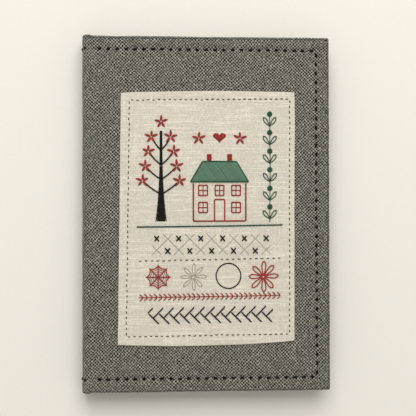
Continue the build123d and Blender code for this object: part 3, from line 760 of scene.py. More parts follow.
    def fill(self, outline, angle, spacing, radius, lift=0.0):
        """Satin stitch: parallel strands across an outline, each from edge to edge."""
        way, across = heading(angle)
        outline = np.asarray(outline, float)
        flat = np.column_stack([outline @ way, outline @ across])
        for v in np.arange(flat[:, 1].min() + spacing * 0.5, flat[:, 1].max(), spacing):
            cuts = []
            for a, b in zip(flat, np.roll(flat, -1, axis=0)):
                if (a[1] <= v) != (b[1] <= v):
                    cuts.append(a[0] + (b[0] - a[0]) * (v - a[1]) / (b[1] - a[1]))
            cuts.sort()
            for ends in zip(cuts[::2], cuts[1::2]):
                a, b = ends + self.random.uniform(-0.08, 0.08, 2)
                if b - a > 0.35:
                    start, end = a * way + v * across, b * way + v * across
                    self.stitch(start, end, radius, lift, 0.1, steps=max(6, int((b - a) / 0.5)))

    def piece(self, name, material, body, slot, *nodes):
        """The threads so far as one mesh that rides on a body and stands for CAD nodes."""
        made = make_piece(name, np.concatenate(self.points), self.faces, material,
                          thread=np.concatenate(self.marks))
        if body:
            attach(made, body)
        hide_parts(*nodes)
        return made


# ---- edge stitching ----
CORNER_STITCHES = (5.3, 1.7)  # where the head and tail rows cross the spine, from the middle of the spine


def cloth_stitch(threads, s0, t0, along_s, front):
    """One edge stitch centred on s0, t0, diving into the cloth at both ends."""
    length = STITCH_LENGTH * threads.random.uniform(0.92, 1.12)
    lean = threads.random.uniform(-0.13, 0.13)
    sway = threads.random.uniform(-0.1, 0.1)
    share = np.linspace(-0.5, 0.5, 11)
    main, cross = share * length, share * length * lean + sway
    s, t = (s0 + main, t0 + cross) if along_s else (s0 + cross, t0 + main)
    lift = 0.3 - 0.85 * np.abs(share * 2) ** 4
    path = on_cloth(s, t, lift)
    _, _, nx, nz = section(np.full(11, s0))
    up = xyz(nx, 0.0, nz)
    if not front:
        path[:, 2], up[:, 2] = TOP - path[:, 2], -up[:, 2]
    swell = STITCH_RADIUS * (1.12 - 0.5 * np.abs(share * 2) ** 2.2)
    threads.tube(path, swell, up, 0.8, 10)


def lining_stitch(threads, x0, y0, along_x, front):
    share = np.linspace(-0.5, 0.5, 9)
    main = share * INNER_STITCH * threads.random.uniform(0.92, 1.08)
    z = INNER + 0.1 - 0.26 * (1 - np.abs(share * 2) ** 3)
    x, y = (x0 + main, y0) if along_x else (x0, y0 + main)
    up = (0, 0, -1)
    if not front:
        z, up = TOP - z, (0, 0, 1)
    threads.tube(xyz(x, y, z), STITCH_RADIUS * (1 - 0.4 * np.abs(share * 2) ** 3), up, 0.7, 8)


def build_edge_stitching():
    across = round((ROW_X - FOLD_X - STITCH_PITCH / 2) / HEAD_PITCH)
    down = round(2 * ROW_Y / FORE_PITCH)
    for front in (True, False):
        threads = Threads(31 + front)
        for end in (-1, 1):
            for k in range(across):
                cloth_stitch(threads, ROW_S - (k + 0.5) * HEAD_PITCH, end * ROW_Y, True, front)
            for k in range(1, across):
                lining_stitch(threads, ROW_X - k * HEAD_PITCH, end * ROW_Y, True, front)
        for k in range(down):
            cloth_stitch(threads, ROW_S, ROW_Y - (k + 0.5) * FORE_PITCH, False, front)
        for k in range(1, down):
            lining_stitch(threads, ROW_X, ROW_Y - k * FORE_PITCH, False, front)
        threads.press()
        side = "front" if front else "back"
        node = f"{side}_edge_stitching"
        threads.piece(f"{side}_edge_threads", EDGE_THREAD, f"{side}_cover", "edge_thread", node)
        corner = Threads(41 + front)
        for end in (-1, 1):
            for s in CORNER_STITCHES:
                cloth_stitch(corner, s, end * ROW_Y, True, front)
        corner.press()
        nodes = ("spine_stitching",) if front else ()
        piece = corner.piece(f"{side}_corner_threads", EDGE_THREAD, None, "edge_thread", *nodes)
        corner_blend(piece)


# ---- felt leaves and their needles ----
PINK_PITCH, PINK_DEPTH = 3.0, 1.3
FOLD_FACE = {leaf: SPINE_FACE + (0.1 if leaf in (1, 4) else 1.1) for leaf in LEAVES}
GUTTER_ROUND = {4: 1.5, 1: 1.5, 3: 0.75, 2: 0.75}
NEEDLES = {**{f"sharp_needle_{k}": 1 for k in (1, 2, 3, 4)}, **{f"darning_needle_{k}": 2 for k in (1, 2)}}
LOOP_LOW, LOOP_HIGH, LOOP_SKIN, LOOP_FLANGE = -6.0, 6.0, 0.25, 1.7
EYE_INSET = 1.2  # from the top of a needle to its eye


def leaf_path(leaf):
    """Middle line of one leaf of a folded felt sheet, from the fold to the fore edge: x and z."""
    fold_z = (LEAF_Z[3] + FELT + LEAF_Z[2]) / 2
    x, z = FOLD_FACE[leaf] + FELT / 2, LEAF_Z[leaf] + FELT / 2
    radius = min(GUTTER_ROUND[leaf], abs(z - fold_z) * 0.9)
    way = np.sign(z - fold_z)
    turn = np.linspace(0, math.pi / 2, 7)
    rise = z - way * radius + way * radius * np.sin(turn)
    bend = np.stack([x + radius - radius * np.cos(turn), rise], axis=1)
    start = np.linspace((x, fold_z), bend[0], 3)[:-1]
    flat_start = bend[-1, 0]
    teeth = math.ceil((LEAF_FORE - flat_start) / PINK_PITCH * 2)
    flat = np.linspace((flat_start, z), (LEAF_FORE, z), teeth + 1)[1:]
    return np.concatenate([start, bend, flat])


def felt_leaf(leaf):
    path = leaf_path(leaf)
    normal = sideways(unit(np.gradient(path, axis=0)))
    teeth = 2 * math.ceil(2 * LEAF_HEAD / PINK_PITCH)
    t_line = np.linspace(-LEAF_HEAD, LEAF_HEAD, teeth + 1)
    column, row = np.arange(len(path)), np.arange(len(t_line))
    near_fore = smoothstep((path[:, 0] - LEAF_FORE + 4) / 4)[:, None]
    near_head = smoothstep((np.abs(t_line) - LEAF_HEAD + 4) / 4)[None, :] * np.sign(t_line)[None, :]
    pinked = smoothstep((path[:, 0] + 46) / 3)[:, None]
    x = path[:, 0][:, None] - PINK_DEPTH * (row % 2)[None, :] * near_fore
    y = t_line[None, :] - PINK_DEPTH * ((len(path) - 1 - column) % 2)[:, None] * near_head * pinked
    wave = 0.05 * value_noise(x, y, 14, 50 + leaf) * smoothstep((path[:, 0] + 42) / 10)[:, None]
    layers = []
    for side in (1, -1):
        half = side * FELT / 2
        fuzz = 0.02 * value_noise(x, y, 1.7, 60 + leaf + side)
        z = path[:, 1:2] + normal[:, 1:2] * half + wave + fuzz
        layers.append(xyz(x + normal[:, 0:1] * half, y, z))
    columns, rows = len(path), len(t_line)
    top = grid_faces(columns, rows)
    under = grid_faces(columns, rows, columns * rows)[:, ::-1]
    rim = rim_of(columns, rows)
    ahead = np.roll(rim, -1)
    wall = np.stack([rim, ahead, ahead + columns * rows, rim + columns * rows], axis=1)[:, ::-1]
    points = np.concatenate([layer.reshape(-1, 3) for layer in layers])
    return points, np.concatenate([top, under, wall]), path_length(path)


def needle_size(needle):
    """x and z of a needle's middle line, its radius, and where its point and its eye end are in y."""
    (x0, y0, z0), (x1, y1, z1) = low(needle), high(needle)
    return (x0 + x1) / 2, (z0 + z1) / 2, (z1 - z0) / 2, y0, y1


def needle_loop(leaf, needle):
    """A strip of felt over one needle, open at both ends like a tunnel."""
    x, z, radius, _, _ = needle_size(needle)
    base = LEAF_Z[leaf] + FELT
    turn = np.linspace(math.pi, 0, 11)
    inside = radius + 0.05
    arch = np.stack([x + inside * 1.15 * np.cos(turn), np.maximum(z + inside * np.sin(turn), base)], axis=1)
    foot = radius + LOOP_FLANGE
    inner = np.concatenate([[(x - radius - LOOP_FLANGE, base - 0.02)], arch, [(x + foot, base - 0.02)]])
    inner[1, 1] = inner[-2, 1] = base
    outside = inside + LOOP_SKIN
    arch = np.stack([x + outside * 1.25 * np.cos(turn), z + outside * np.sin(turn)], axis=1)
    top = base + LOOP_SKIN
    outer = np.concatenate([[(x - radius - LOOP_FLANGE, top)], arch, [(x + foot, top)]])
    outer[1, 1] = outer[-2, 1] = top
    section_points = np.concatenate([outer, inner[::-1]])
    count = len(section_points)
    stations = np.linspace(LOOP_LOW, LOOP_HIGH, 13)
    points = xyz(section_points[:, 0], stations[:, None], section_points[:, 1])
    i, j = np.meshgrid(np.arange(len(stations) - 1), np.arange(count), indexing="ij")
    a, b = i * count + j, i * count + (j + 1) % count
    faces = np.stack([a, a + count, b + count, b], axis=-1).reshape(-1, 4)
    half = len(outer)
    pairs = np.arange(half - 1)
    cap = np.stack([pairs, pairs + 1, count - 2 - pairs, count - 1 - pairs], axis=1)
    return points.reshape(-1, 3), np.concatenate([faces, cap, (cap + (len(stations) - 1) * count)[:, ::-1]])


def build_leaves():
    for leaf in LEAVES:
        points, faces, length = felt_leaf(leaf)
        piece = make_piece(f"felt_page_{leaf}", points, faces, FELT_WOOL)
        piece.data.set_sharp_from_angle(angle=math.radians(50))
        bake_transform(piece)
        extra = {4: ("outer_felt_fold",), 3: ("inner_felt_fold",)}.get(leaf, ())
        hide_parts(f"felt_leaf_{leaf}", *extra)
        for needle, held_by in NEEDLES.items():
            if held_by == leaf:
                build_needle(needle, leaf)


def build_needle(needle, leaf):
    points, faces = needle_loop(leaf, needle)
    loop = make_piece(f"{needle}_loop", points, faces, FELT_WOOL)
    loop.data.set_sharp_from_angle(angle=math.radians(55))
    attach(loop, f"leaf_{leaf}")

    x, z, radius, y0, y1 = needle_size(needle)
    eye_end, eye_start = y1 - EYE_INSET, y1 - EYE_INSET - 5 * radius
    steel = Threads(70)

    def rod(marks, offset=0.0, flatten=1.0, sides=16):
        path = np.array([(x + offset, y, z) for y, _ in marks])
        steel.tube(path, np.array([r for _, r in marks]) * radius, flatten=flatten, sides=sides)

    point = [(y0 + 7 * share, 0.06 + 0.94 * share ** 0.6) for share in np.linspace(0, 1, 9)]
    shank = [(y0 + 12, 1.0), (eye_start - 4, 1.0), (eye_start - 0.3, 1.0)]
    rod(point + shank + [(eye_start, 0.98), (eye_start + 0.1, 0.9)])
    for side in (-1, 1):
        eye = [(eye_start - 0.4, 0.25), (eye_start - 0.1, 0.42), (eye_end + 0.1, 0.42), (eye_end + 0.4, 0.25)]
        rod(eye, side * 0.6 * radius, 1.7, 10)
    head = [(eye_end - 0.05, 0.85), (eye_end, 0.98), (y1 - 0.6, 0.98), (y1 - 0.25, 0.8)]
    rod(head + [(y1 - 0.06, 0.5), (y1, 0.4)])
    piece = steel.piece(f"{needle}_steel", STEEL, needle, "needle_steel", needle)
    piece.data.set_sharp_from_angle(angle=math.radians(40))


def build_binding():
    """A pamphlet stitch through the folds, seen as a run of thread in the middle of the leaves."""
    (_, y0, z0), (x1, y1, z1) = low("binding_thread"), high("binding_thread")
    x, z = x1 - 0.2, (z0 + z1) / 2
    threads = Threads(80)
    holes = np.linspace(y0 + 0.2, y1 - 0.2, 5)
    for a, b in zip(holes, holes[1:]):
        share = np.linspace(0, 1, 25)
        dive = 1 - smoothstep(np.minimum(share, 1 - share) / 0.05)
        path = xyz(x + 0.06 * np.sin(math.pi * share) - dive * 1.3, a + (b - a) * share, z)
        threads.tube(path, 0.24, (1, 0, 0), 0.9, 8)
    threads.piece("binding_stitches", BINDING, "spine", "binding_linen", "binding_thread")


# ---- the linen patch ----
PATCH_TAIL = ((-36.2, -53.3), (35.8, -52.2))
PATCH_HEAD = ((-34.9, 49.1), (36.2, 49.8))
PATCH_SAG, PATCH_RISE = 1.15, 0.65
PATCH_FOOT, PATCH_WIDTH, PATCH_LENGTH = 52.9, 72, 102.6  # how far it reaches below the origin, and its size
HEM_TAIL = ((-33.0, -50.2), (34.0, -49.6))
HEM_HEAD = ((-31.7, 46.4), (34.3, 47.3))
HEM_PITCH, HEM_STITCH = 2.2, 1.25
HEM_BAND = 3.7
PATCH_GRID = 0.4


def patch_shares(x, y):
    """How far across and how far up the patch a point is, from 0 to 1."""
    up = (np.asarray(y) + PATCH_FOOT) / PATCH_LENGTH
    left = PATCH_TAIL[0][0] + (PATCH_HEAD[0][0] - PATCH_TAIL[0][0]) * up
    right = PATCH_TAIL[1][0] + (PATCH_HEAD[1][0] - PATCH_TAIL[1][0]) * up
    return (x - left) / (right - left), up


def linen_level(x, y):
    """Height of the linen: a doubled hem round the edge, and slight puckers where it is sewn."""
    x, y = np.broadcast_arrays(np.asarray(x, float), np.asarray(y, float))
    across, up = patch_shares(x, y)
    edge = np.minimum(np.minimum(across, 1 - across) * PATCH_WIDTH, np.minimum(up, 1 - up) * PATCH_LENGTH)
    hem = 0.17 * (1 - smoothstep((edge - HEM_BAND) / 0.5))
    sewn = 0.13 * bell(edge - 3.1, 0.55)
    waves = 0.035 * value_noise(x, y, 11, 5) + 0.03 * value_noise(x, y, 3.5, 6)
    pucker = 0.05 * value_noise(x, y, 1.3, 7) * bell(edge - 2.4, 1.5)
    return PATCH_TOP - 0.22 + hem - sewn + waves + pucker


def build_patch():
    across = np.linspace(0, 1, int(73 / PATCH_GRID))[:, None]
    up = np.linspace(0, 1, int(103 / PATCH_GRID))[None, :]
    bow = 4 * across * (1 - across)
    tail = np.array(PATCH_TAIL[0]) + (np.array(PATCH_TAIL[1]) - PATCH_TAIL[0]) * across
    head = np.array(PATCH_HEAD[0]) + (np.array(PATCH_HEAD[1]) - PATCH_HEAD[0]) * across
    x = tail[:, 0:1] + (head[:, 0:1] - tail[:, 0:1]) * up
    foot, crown = tail[:, 1:2] - PATCH_SAG * bow, head[:, 1:2] + PATCH_RISE * bow
    y = foot + (crown - foot) * up
    x, y = x + 0.1 * value_noise(x, y, 8, 11), y + 0.1 * value_noise(x, y, 8, 12)
    z = linen_level(x, y)
    columns, rows = x.shape
    points = [xyz(x, y, z).reshape(-1, 3)]
    marks = [xyz(x + 800, y, 0.0).reshape(-1, 3)]
    faces = [grid_faces(columns, rows)]
    rim = np.append(rim_of(columns, rows), 0)
    edge = points[0][rim]
    centre = np.array([1.0, -1.5, 0])
    out = np.sign(edge - centre) * (np.abs(edge - centre) > np.array([34.5, 49.5, 99]))
    out = out / np.maximum(np.linalg.norm(out, axis=1, keepdims=True), 1)
    drop = edge[:, 2] - TOP
    rings = [edge]
    for turn in np.linspace(0.35, math.pi, 7):
        ring = edge + out * 0.3 * math.sin(turn)
        ring[:, 2] = TOP - 0.05 + (drop + 0.05) * (0.5 + 0.5 * math.cos(turn))
        rings.append(ring)
    start = len(points[0])
    points.append(np.concatenate(rings))
    marks += [edge * (1, 1, 0) + (800, 0, 0) + out * 0.15 * k for k in range(len(rings))]
    faces.append(grid_faces(len(rings), len(rim), start))
    middle = (columns // 2) * (rows - 1) + rows // 2
    piece = make_piece("embroidered_linen", np.concatenate(points), np.concatenate(faces), LINEN,
                       (middle, (0, 0, 1)), True, cloth_mm=np.concatenate(marks))
    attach(piece, "front_cover")
    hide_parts("linen_patch")


def running_stitches(threads, a, b, pitch, length, radius, jitter=0.08):
    a, b = np.asarray(a, float), np.asarray(b, float)
    total = np.linalg.norm(b - a)
    way = (b - a) / total
    across = np.array([-way[1], way[0]])
    count = round(total / pitch)
    for k in range(count):
        middle = a + way * total * (k + 0.5) / count + across * threads.random.normal(0, jitter)
        half = way * length / 2 * threads.random.uniform(0.82, 1.15)
        lean = across * threads.random.normal(0, 0.05)
        threads.stitch(middle - half - lean, middle + half + lean, radius, arch=0.05)


# ---- embroidery ----
FLOSS = 0.2  # radius of one laid thread
TREE_X, TREE_FOOT, TREE_TOP = -18.8, -3.4, 34.6
TREE_WIDE, TREE_NARROW = 4.6, 1.0
BRANCHES, BRANCH_LOW, BRANCH_PITCH, BRANCH_RISE = 4, 8.0, 6.0, 5.5
BRANCH_REACH, BRANCH_LESS, BRANCH_SAG = 7.6, 1.2, 1.0
HOUSE_X, HOUSE_HALF = 5.2, 10.8  # middle and half width of a house seen square on
WALL_FOOT, EAVE, RIDGE = -3.1, 13.0, 21.4
ROOF_OVERHANG, RIDGE_HALF = 1.2, 7.0
WINDOW_APART, WINDOW_WIDTH, WINDOW_HEIGHT, WINDOW_FLOORS = 6.8, 3.6, 4.2, (0.4, 7.4)
DOOR_HALF, DOOR_TOP = 2.1, 5.8
CHIMNEY_APART, CHIMNEY_WIDTH, CHIMNEY_HEIGHT = 4.2, 2.4, 2.6
HEART_Y, HEART_SCALE = 31.4, 0.165
SPRIG_APART, SPRIG_Y = 8.5, 31.0  # the blossom each side of the heart
VINE_X, VINE_FOOT, VINE_TOP, VINE_KNOTS, VINE_PITCH = 26.0, -3.6, 41.0, 6, 7.65
GROUND = ((-28.9, -5.5), (-8, -5.3), (10, -5.1), (31.4, -4.7))
TRELLIS_LEFT, TRELLIS_PITCH, TRELLIS_TOP, TRELLIS_DROP = -20.6, 9.0, -10.3, 4.6
DIVIDER = ((-28.5, -19.4), (31.0, -18.4))
MOTIF_Y, WEB_X, PALE_X, RING_X, DAISY_X = -26.0, -20.0, -5.6, 8.8, 23.2
RED_BAND = ((-28.2, -34.3), (30.2, -33.7))
FEATHER_START, FEATHER_PITCH, FEATHER_UNITS = (-24.2, -40.6), 4.22, 12


def sewn(seed):
    return Threads(seed, linen_level)


def on_patch(threads, name, material, node, slot=None):
    """The threads so far as one mesh on the patch. Its slot, the material's own unless another is given, is
    not used.
    """
    threads.piece(name, material, "front_cover", slot or FLOSS_SLOTS[material], node)


def branches():
    """Foot and blossom centre of each branch, in pairs up the trunk."""
    made = []
    for i in range(BRANCHES):
        y, reach = BRANCH_LOW + i * BRANCH_PITCH, BRANCH_REACH - i * BRANCH_LESS
        made += [((TREE_X, y), (TREE_X + side * reach, y + BRANCH_RISE)) for side in (-1, 1)]
    return made


def sew_tree():
    threads = sewn(101)
    y = np.arange(TREE_FOOT, TREE_TOP, 0.5)
    share = (y - TREE_FOOT) / (TREE_TOP - TREE_FOOT)
    half = (TREE_NARROW + (TREE_WIDE - TREE_NARROW) * (1 - share) ** 3) / 2 - FLOSS * 0.8
    rows = math.floor(half.max() / 0.3)
    for offset in np.arange(-rows, rows + 1) * 0.3:
        inside = np.abs(offset) <= np.maximum(half - 0.15, 0)
        lay_long(threads, np.column_stack([np.full_like(y, TREE_X + offset), y]), inside, 5.0, 0.03)
    for side in (-1, 1):
        lay_long(threads, np.column_stack([TREE_X + side * half, y]), half > 0, 3.6, 0.0)
    for foot, centre in branches():
        lay_twig(threads, np.array(foot), np.array(centre))
    on_patch(threads, "tree_stitches", BLACK_FLOSS, "tree_satin")


def lay_long(threads, line, inside, length, lift):
    """Long stitches, each starting just inside the one before, along the part of a line within the shape."""
    steps = max(4, int(length / 0.5))
    start = 0
    end = int(threads.random.integers(4, steps + 1))
    while start < len(line) - 3:
        picked = np.arange(start, min(end + 2, len(line)))
        picked = picked[inside[picked]]
        if len(picked) >= 4:
            threads.on_linen(line[picked], FLOSS, lift + threads.random.uniform(0, 0.05), 0.08)
        start, end = end, end + steps


def lay_twig(threads, foot, centre):
    """A sagging twig from the trunk to just short of a blossom."""
    knee = (foot + centre) / 2 - (0, BRANCH_SAG)
    share = np.linspace(0, 1 - 0.8 / np.linalg.norm(centre - foot), 12)[:, None]
    bend = (1 - share) ** 2 * foot + 2 * share * (1 - share) * knee + share ** 2 * centre
    threads.stem_stitch(bend, 2.2, 0.27, 0.12, 0.04)


def sew_blossoms():
    threads = sewn(102)
    centres = [centre for _, centre in branches()] + [(TREE_X, TREE_TOP + 3.1)]
    centres += [(HOUSE_X - SPRIG_APART, SPRIG_Y), (HOUSE_X + SPRIG_APART, SPRIG_Y)]
    for centre in centres:
        for k in range(5):
            angle = 90 + 72 * k + threads.random.uniform(-6, 6)
            far = 2.8 * threads.random.uniform(0.9, 1.08)
            threads.petal(centre, angle, 0.2, far, 1.0, 0.19, 3, 0.1)
    on_patch(threads, "blossom_stitches", RED_FLOSS, "blossom_petals")


def sew_house():
    threads = sewn(103)
    left, right = HOUSE_X - HOUSE_HALF, HOUSE_X + HOUSE_HALF
    for line in (((left, WALL_FOOT), (left, EAVE - 0.5)), ((right, WALL_FOOT), (right, EAVE - 0.5)),
                 ((left - 0.1, WALL_FOOT), (right + 0.1, WALL_FOOT + 0.1))):
        threads.stem_stitch(line, 2.4, 0.28, 0.08)
    left, right = HOUSE_X - DOOR_HALF, HOUSE_X + DOOR_HALF
    for line in (((left, WALL_FOOT), (left, DOOR_TOP)), ((right, WALL_FOOT), (right, DOOR_TOP)),
                 ((left, DOOR_TOP), (right, DOOR_TOP))):
        threads.stem_stitch(line, 2.2, 0.25, 0.07)
    columns = [HOUSE_X + k * WINDOW_APART - WINDOW_WIDTH / 2 for k in (-1, 0, 1)]
    lower, upper = WINDOW_FLOORS
    for x, y in [(x, upper) for x in columns] + [(x, lower) for x in columns[::2]]:
        for k in range(3):
            across, up = x + WINDOW_WIDTH * k / 2, y + WINDOW_HEIGHT * k / 2
            thin = 0.26 if k != 1 else 0.19
            threads.back_stitch([(across, y), (across, y + WINDOW_HEIGHT)], 1.45, thin, 0.02)
            threads.back_stitch([(x, up), (x + WINDOW_WIDTH, up)], 1.2, thin, 0.06)
    on_patch(threads, "house_stitches", RED_FLOSS, "house_outline")


def sew_roof():
    low = HOUSE_HALF + ROOF_OVERHANG
    corners = [(HOUSE_X - low, EAVE), (HOUSE_X + low, EAVE), (HOUSE_X + RIDGE_HALF, RIDGE),
               (HOUSE_X - RIDGE_HALF, RIDGE)]
    threads = sewn(104)
    threads.fill(corners, -55, 0.3, 0.2, 0.0)
    threads.fill(corners, 38, 0.62, 0.1, 0.16)
    on_patch(threads, "roof_stitches", ROOF_FLOSS, "roof_satin", "green_floss")
    threads = sewn(105)
    for a, b in zip(corners, corners[1:] + corners[:1]):
        threads.stem_stitch((a, b), 2.2, 0.22, 0.08, 0.14)
    on_patch(threads, "roof_outline_stitches", DEEP_GREEN, "roof_outline", "green_floss")


def sew_small_fills():
    threads = sewn(106)
    low, high, half = RIDGE + 0.35, RIDGE + 0.35 + CHIMNEY_HEIGHT, CHIMNEY_WIDTH / 2
    for x in (HOUSE_X - CHIMNEY_APART, HOUSE_X + CHIMNEY_APART):
        outline = [(x - half, low), (x + half, low), (x + half, high), (x - half, high)]
        threads.fill(outline, 0, 0.33, 0.19, 0.05)
    on_patch(threads, "chimney_stitches", RED_FLOSS, "chimney_satin")
    threads = sewn(107)
    turn = np.linspace(0, 2 * math.pi, 41)[:-1]
    width = 16 * np.sin(turn) ** 3
    height = 13 * np.cos(turn) - 5 * np.cos(2 * turn) - 2 * np.cos(3 * turn) - np.cos(4 * turn)
    outline = np.stack([HOUSE_X + width * HEART_SCALE, HEART_Y + height * HEART_SCALE], axis=1)
    threads.fill(outline, 90, 0.3, 0.18, 0.04)
    on_patch(threads, "heart_stitches", RED_FLOSS, "heart_satin")


def sew_vine():
    stem, knots, leaves = sewn(108), sewn(109), sewn(110)
    line = [(VINE_X, VINE_TOP - 0.5), (VINE_X + 0.15, 20), (VINE_X - 0.1, VINE_FOOT)]
    stem.stem_stitch(line, 2.4, 0.16, 0.05)
    for k in range(VINE_KNOTS):
        y = VINE_TOP - k * VINE_PITCH
        for ring, (radius, lift) in enumerate(((0.9, 0.02), (0.6, 0.2), (0.24, 0.34))):
            turn = np.linspace(0.4 * ring, 0.4 * ring + 2 * math.pi + 0.5, 22)
            points = np.column_stack([VINE_X + radius * np.cos(turn), y + radius * np.sin(turn)])
            knots.on_linen(points, 0.24, lift, 0.0)
        root = (VINE_X, VINE_TOP - (k + 0.6) * VINE_PITCH - 0.35)
        for angle, bend in ((47, 0.35), (133, -0.35)):
            leaves.loop(root, angle + leaves.random.uniform(-3, 3), 0.1, 4.1, 1.5, 0.21, bend)
        leaves.stitch((VINE_X, root[1] - 0.5), (VINE_X, root[1] + 1.3), 0.2, 0.1)
    on_patch(stem, "vine_stem_stitches", DEEP_GREEN, "vine_stem")
    on_patch(knots, "vine_knot_stitches", DEEP_GREEN, "vine_knots")
    on_patch(leaves, "vine_leaf_stitches", DEEP_GREEN, "vine_leaves")
    ground = sewn(111)
    ground.stem_stitch(rounded(GROUND), 2.8, 0.27, 0.1)
    on_patch(ground, "ground_stitches", DEEP_GREEN, "ground_line")


def sew_trellis():
    threads, crosses = sewn(112), sewn(113)
    reach = 2.3
    for k in range(5):
        x = TRELLIS_LEFT + (k + 0.5) * TRELLIS_PITCH
        for way in (-1, 1):
            top = (x - way * reach, TRELLIS_TOP + reach)
            foot = (x + way * (TRELLIS_PITCH / 2 + reach), TRELLIS_TOP - TRELLIS_DROP - reach)
            threads.stitch(top, foot, 0.13, 0.0, 0.05, steps=16)
    for x, way in ((TRELLIS_LEFT, 1), (TRELLIS_LEFT + 5 * TRELLIS_PITCH, -1)):
        y = TRELLIS_TOP - TRELLIS_DROP
        threads.stitch((x - way * reach, y + reach), (x + way * reach, y - reach), 0.13, 0.0, 0.05)
    on_patch(threads, "trellis_stitches", GREY_FLOSS, "trellis_threads")
    places = [(TRELLIS_LEFT + k * TRELLIS_PITCH, TRELLIS_TOP + 0.1) for k in range(6)]
    places += [(TRELLIS_LEFT + (k + 0.5) * TRELLIS_PITCH, TRELLIS_TOP - TRELLIS_DROP - 0.4) for k in range(5)]
    for x, y in places:
        arm, rise = 1.1 * crosses.random.uniform(0.93, 1.07), 1.26 * crosses.random.uniform(0.93, 1.07)
        crosses.stitch((x - arm, y - rise), (x + arm, y + rise), 0.28, 0.04)
        crosses.stitch((x - arm, y + rise), (x + arm, y - rise), 0.28, 0.22)
    on_patch(crosses, "cross_stitch_row", BLACK_FLOSS, "cross_stitches")
    divider = sewn(114)
    running_stitches(divider, *DIVIDER, 2.35, 1.3, 0.2, 0.06)
    on_patch(divider, "divider_running_stitches", HEM_FLOSS, "divider_stitches")


def sew_motifs():
    web = sewn(115)
    centre = np.array([WEB_X, MOTIF_Y])
    angles = np.radians(90 + np.arange(9) * 45)
    spokes = np.stack([np.cos(angles), np.sin(angles)], axis=1)
    for way in spokes[:-1]:
        web.stitch(centre - way * 0.5, centre + way * 5.6, 0.21, 0.06)
    for reach, sag, radius in ((4.8, 0.84, 0.22), (3.7, 0.87, 0.11), (2.6, 0.89, 0.11), (1.5, 0.9, 0.1)):
        for a, b in zip(spokes, spokes[1:]):
            share = np.linspace(0, 1, 9)[:, None]
            line = centre + reach * (a * (1 - share) + b * share)
            pull = 1 - (1 - sag) * 4 * share * (1 - share)
            web.on_linen(centre + (line - centre) * pull, radius, 0.02, 0.04)
    on_patch(web, "web_wheel_stitches", RED_FLOSS, "web_wheel")

    for name, x, far, width, radius, material in (
        ("pale_daisy", PALE_X, 5.2, 1.4, 0.14, GREY_FLOSS),
        ("red_daisy", DAISY_X, 6.0, 1.9, 0.24, RED_FLOSS),
    ):
        daisy = sewn(116)
        for k in range(8):
            angle = 90 + 45 * k + daisy.random.uniform(-4, 4)
            daisy.loop((x, MOTIF_Y), angle, 0.5, far * daisy.random.uniform(0.94, 1.04), width, radius)
        on_patch(daisy, f"{name}_stitches", material, name)
    ring = sewn(118)
    turn = np.linspace(0, 2 * math.pi, 60)
    circle = np.column_stack([RING_X + 5.1 * np.cos(turn), MOTIF_Y + 0.4 + 5.1 * np.sin(turn)])
    ring.back_stitch(circle, 2.2, 0.25)
    on_patch(ring, "ring_stitches", BLACK_FLOSS, "ring_stitch")


def sew_bands():
    red, black = sewn(119), sewn(120)
    start, end = np.array(RED_BAND)
    red.stem_stitch([start, end], 2.6, 0.15, 0.05)
    count = 30
    for k in range(count):
        tip = start + (end - start) * (k + 1) / count
        for way in (-1, 1):
            tail = tip + (-1.45, way * 1.35) + red.random.uniform(-0.1, 0.1, 2)
            red.stitch(tail, tip, 0.2, 0.08, bow=way * 0.14)
    on_patch(red, "red_band_stitches", RED_FLOSS, "red_feather_band")
    half = FEATHER_PITCH / 2
    for k in range(FEATHER_UNITS):
        apex = np.array(FEATHER_START) + (k * FEATHER_PITCH, k * 0.05)
        black.stitch(apex, apex + (half * 2.3, -half * 2.3), 0.28, 0.05)
        black.stitch(apex + (half, half * 1.05), apex - (0.15, 0.15), 0.27, 0.1)
        if k:
            black.stitch(apex + (0.15, 0.15), apex - (half, half), 0.27, 0.12)
    black.stitch(apex + (half, -half), apex + (half * 2.4, half * 0.4), 0.27, 0.12)
    on_patch(black, "black_band_stitches", BLACK_FLOSS, "black_feather_band")


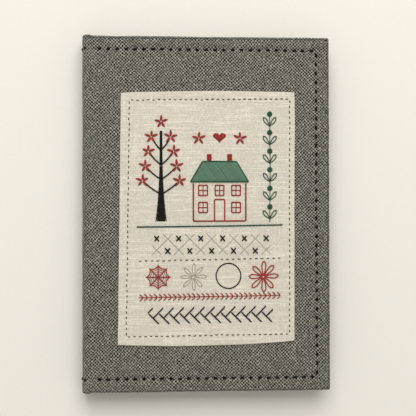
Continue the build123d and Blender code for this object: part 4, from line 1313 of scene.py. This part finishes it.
def sew_hem():
    threads = sewn(121)
    corners = (HEM_TAIL[0], HEM_TAIL[1], HEM_HEAD[1], HEM_HEAD[0])
    for a, b in zip(corners, corners[1:] + corners[:1]):
        running_stitches(threads, a, b, HEM_PITCH, HEM_STITCH, 0.2)
    on_patch(threads, "patch_running_stitches", HEM_FLOSS, "patch_hem_stitching")


# ---- camera, light and floor ----
def build_stage():
    camera = bpy.data.cameras.new("camera")
    camera.lens, camera.sensor_width = 85, 36
    holder = bpy.data.objects.new("camera", camera)
    holder.location = (-27.2 * MM, -4.3 * MM, 414.5 * MM)
    holder.rotation_euler = [math.radians(a) for a in (0.94, -3.93, -0.11)]
    camera.clip_start, camera.clip_end = 0.01, 20
    bpy.context.scene.collection.objects.link(holder)
    bpy.context.scene.camera = holder

    bpy.ops.mesh.primitive_plane_add(size=3.0, location=(0, 0, -0.0001))
    floor = bpy.context.object
    floor.name = "floor"
    floor.data.materials.append(floor_material())

    world = bpy.data.worlds.new("soft_room")
    bpy.context.scene.world = world
    world.use_nodes = True
    world.node_tree.nodes["Background"].inputs[0].default_value = (1.0, 0.965, 0.90, 1)
    world.node_tree.nodes["Background"].inputs[1].default_value = 0.56
    area_light("key", (0.0, 0.60, 0.76), 0.80, 8.6, (1.0, 0.99, 0.98))
    bpy.context.scene.view_settings.view_transform = "Standard"


def area_light(name, place, size, power, colour):
    """A square soft light at place that looks at the case."""
    light = bpy.data.lights.new(name, "AREA")
    light.size, light.energy, light.color = size, power, colour
    holder = bpy.data.objects.new(name, light)
    holder.location = place
    aim = -holder.location.normalized()
    holder.rotation_mode = "QUATERNION"
    holder.rotation_quaternion = aim.to_track_quat("-Z", "Y")
    bpy.context.scene.collection.objects.link(holder)


build_stage()
build_cloth()
build_lining()
build_edge_stitching()
build_patch()
sew_hem()
sew_tree()
sew_blossoms()
sew_house()
sew_roof()
sew_small_fills()
sew_vine()
sew_trellis()
sew_motifs()
sew_bands()
build_leaves()
build_binding()

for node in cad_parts.values():
    node.data.materials.clear()
    node.data.materials.append(BOARD)
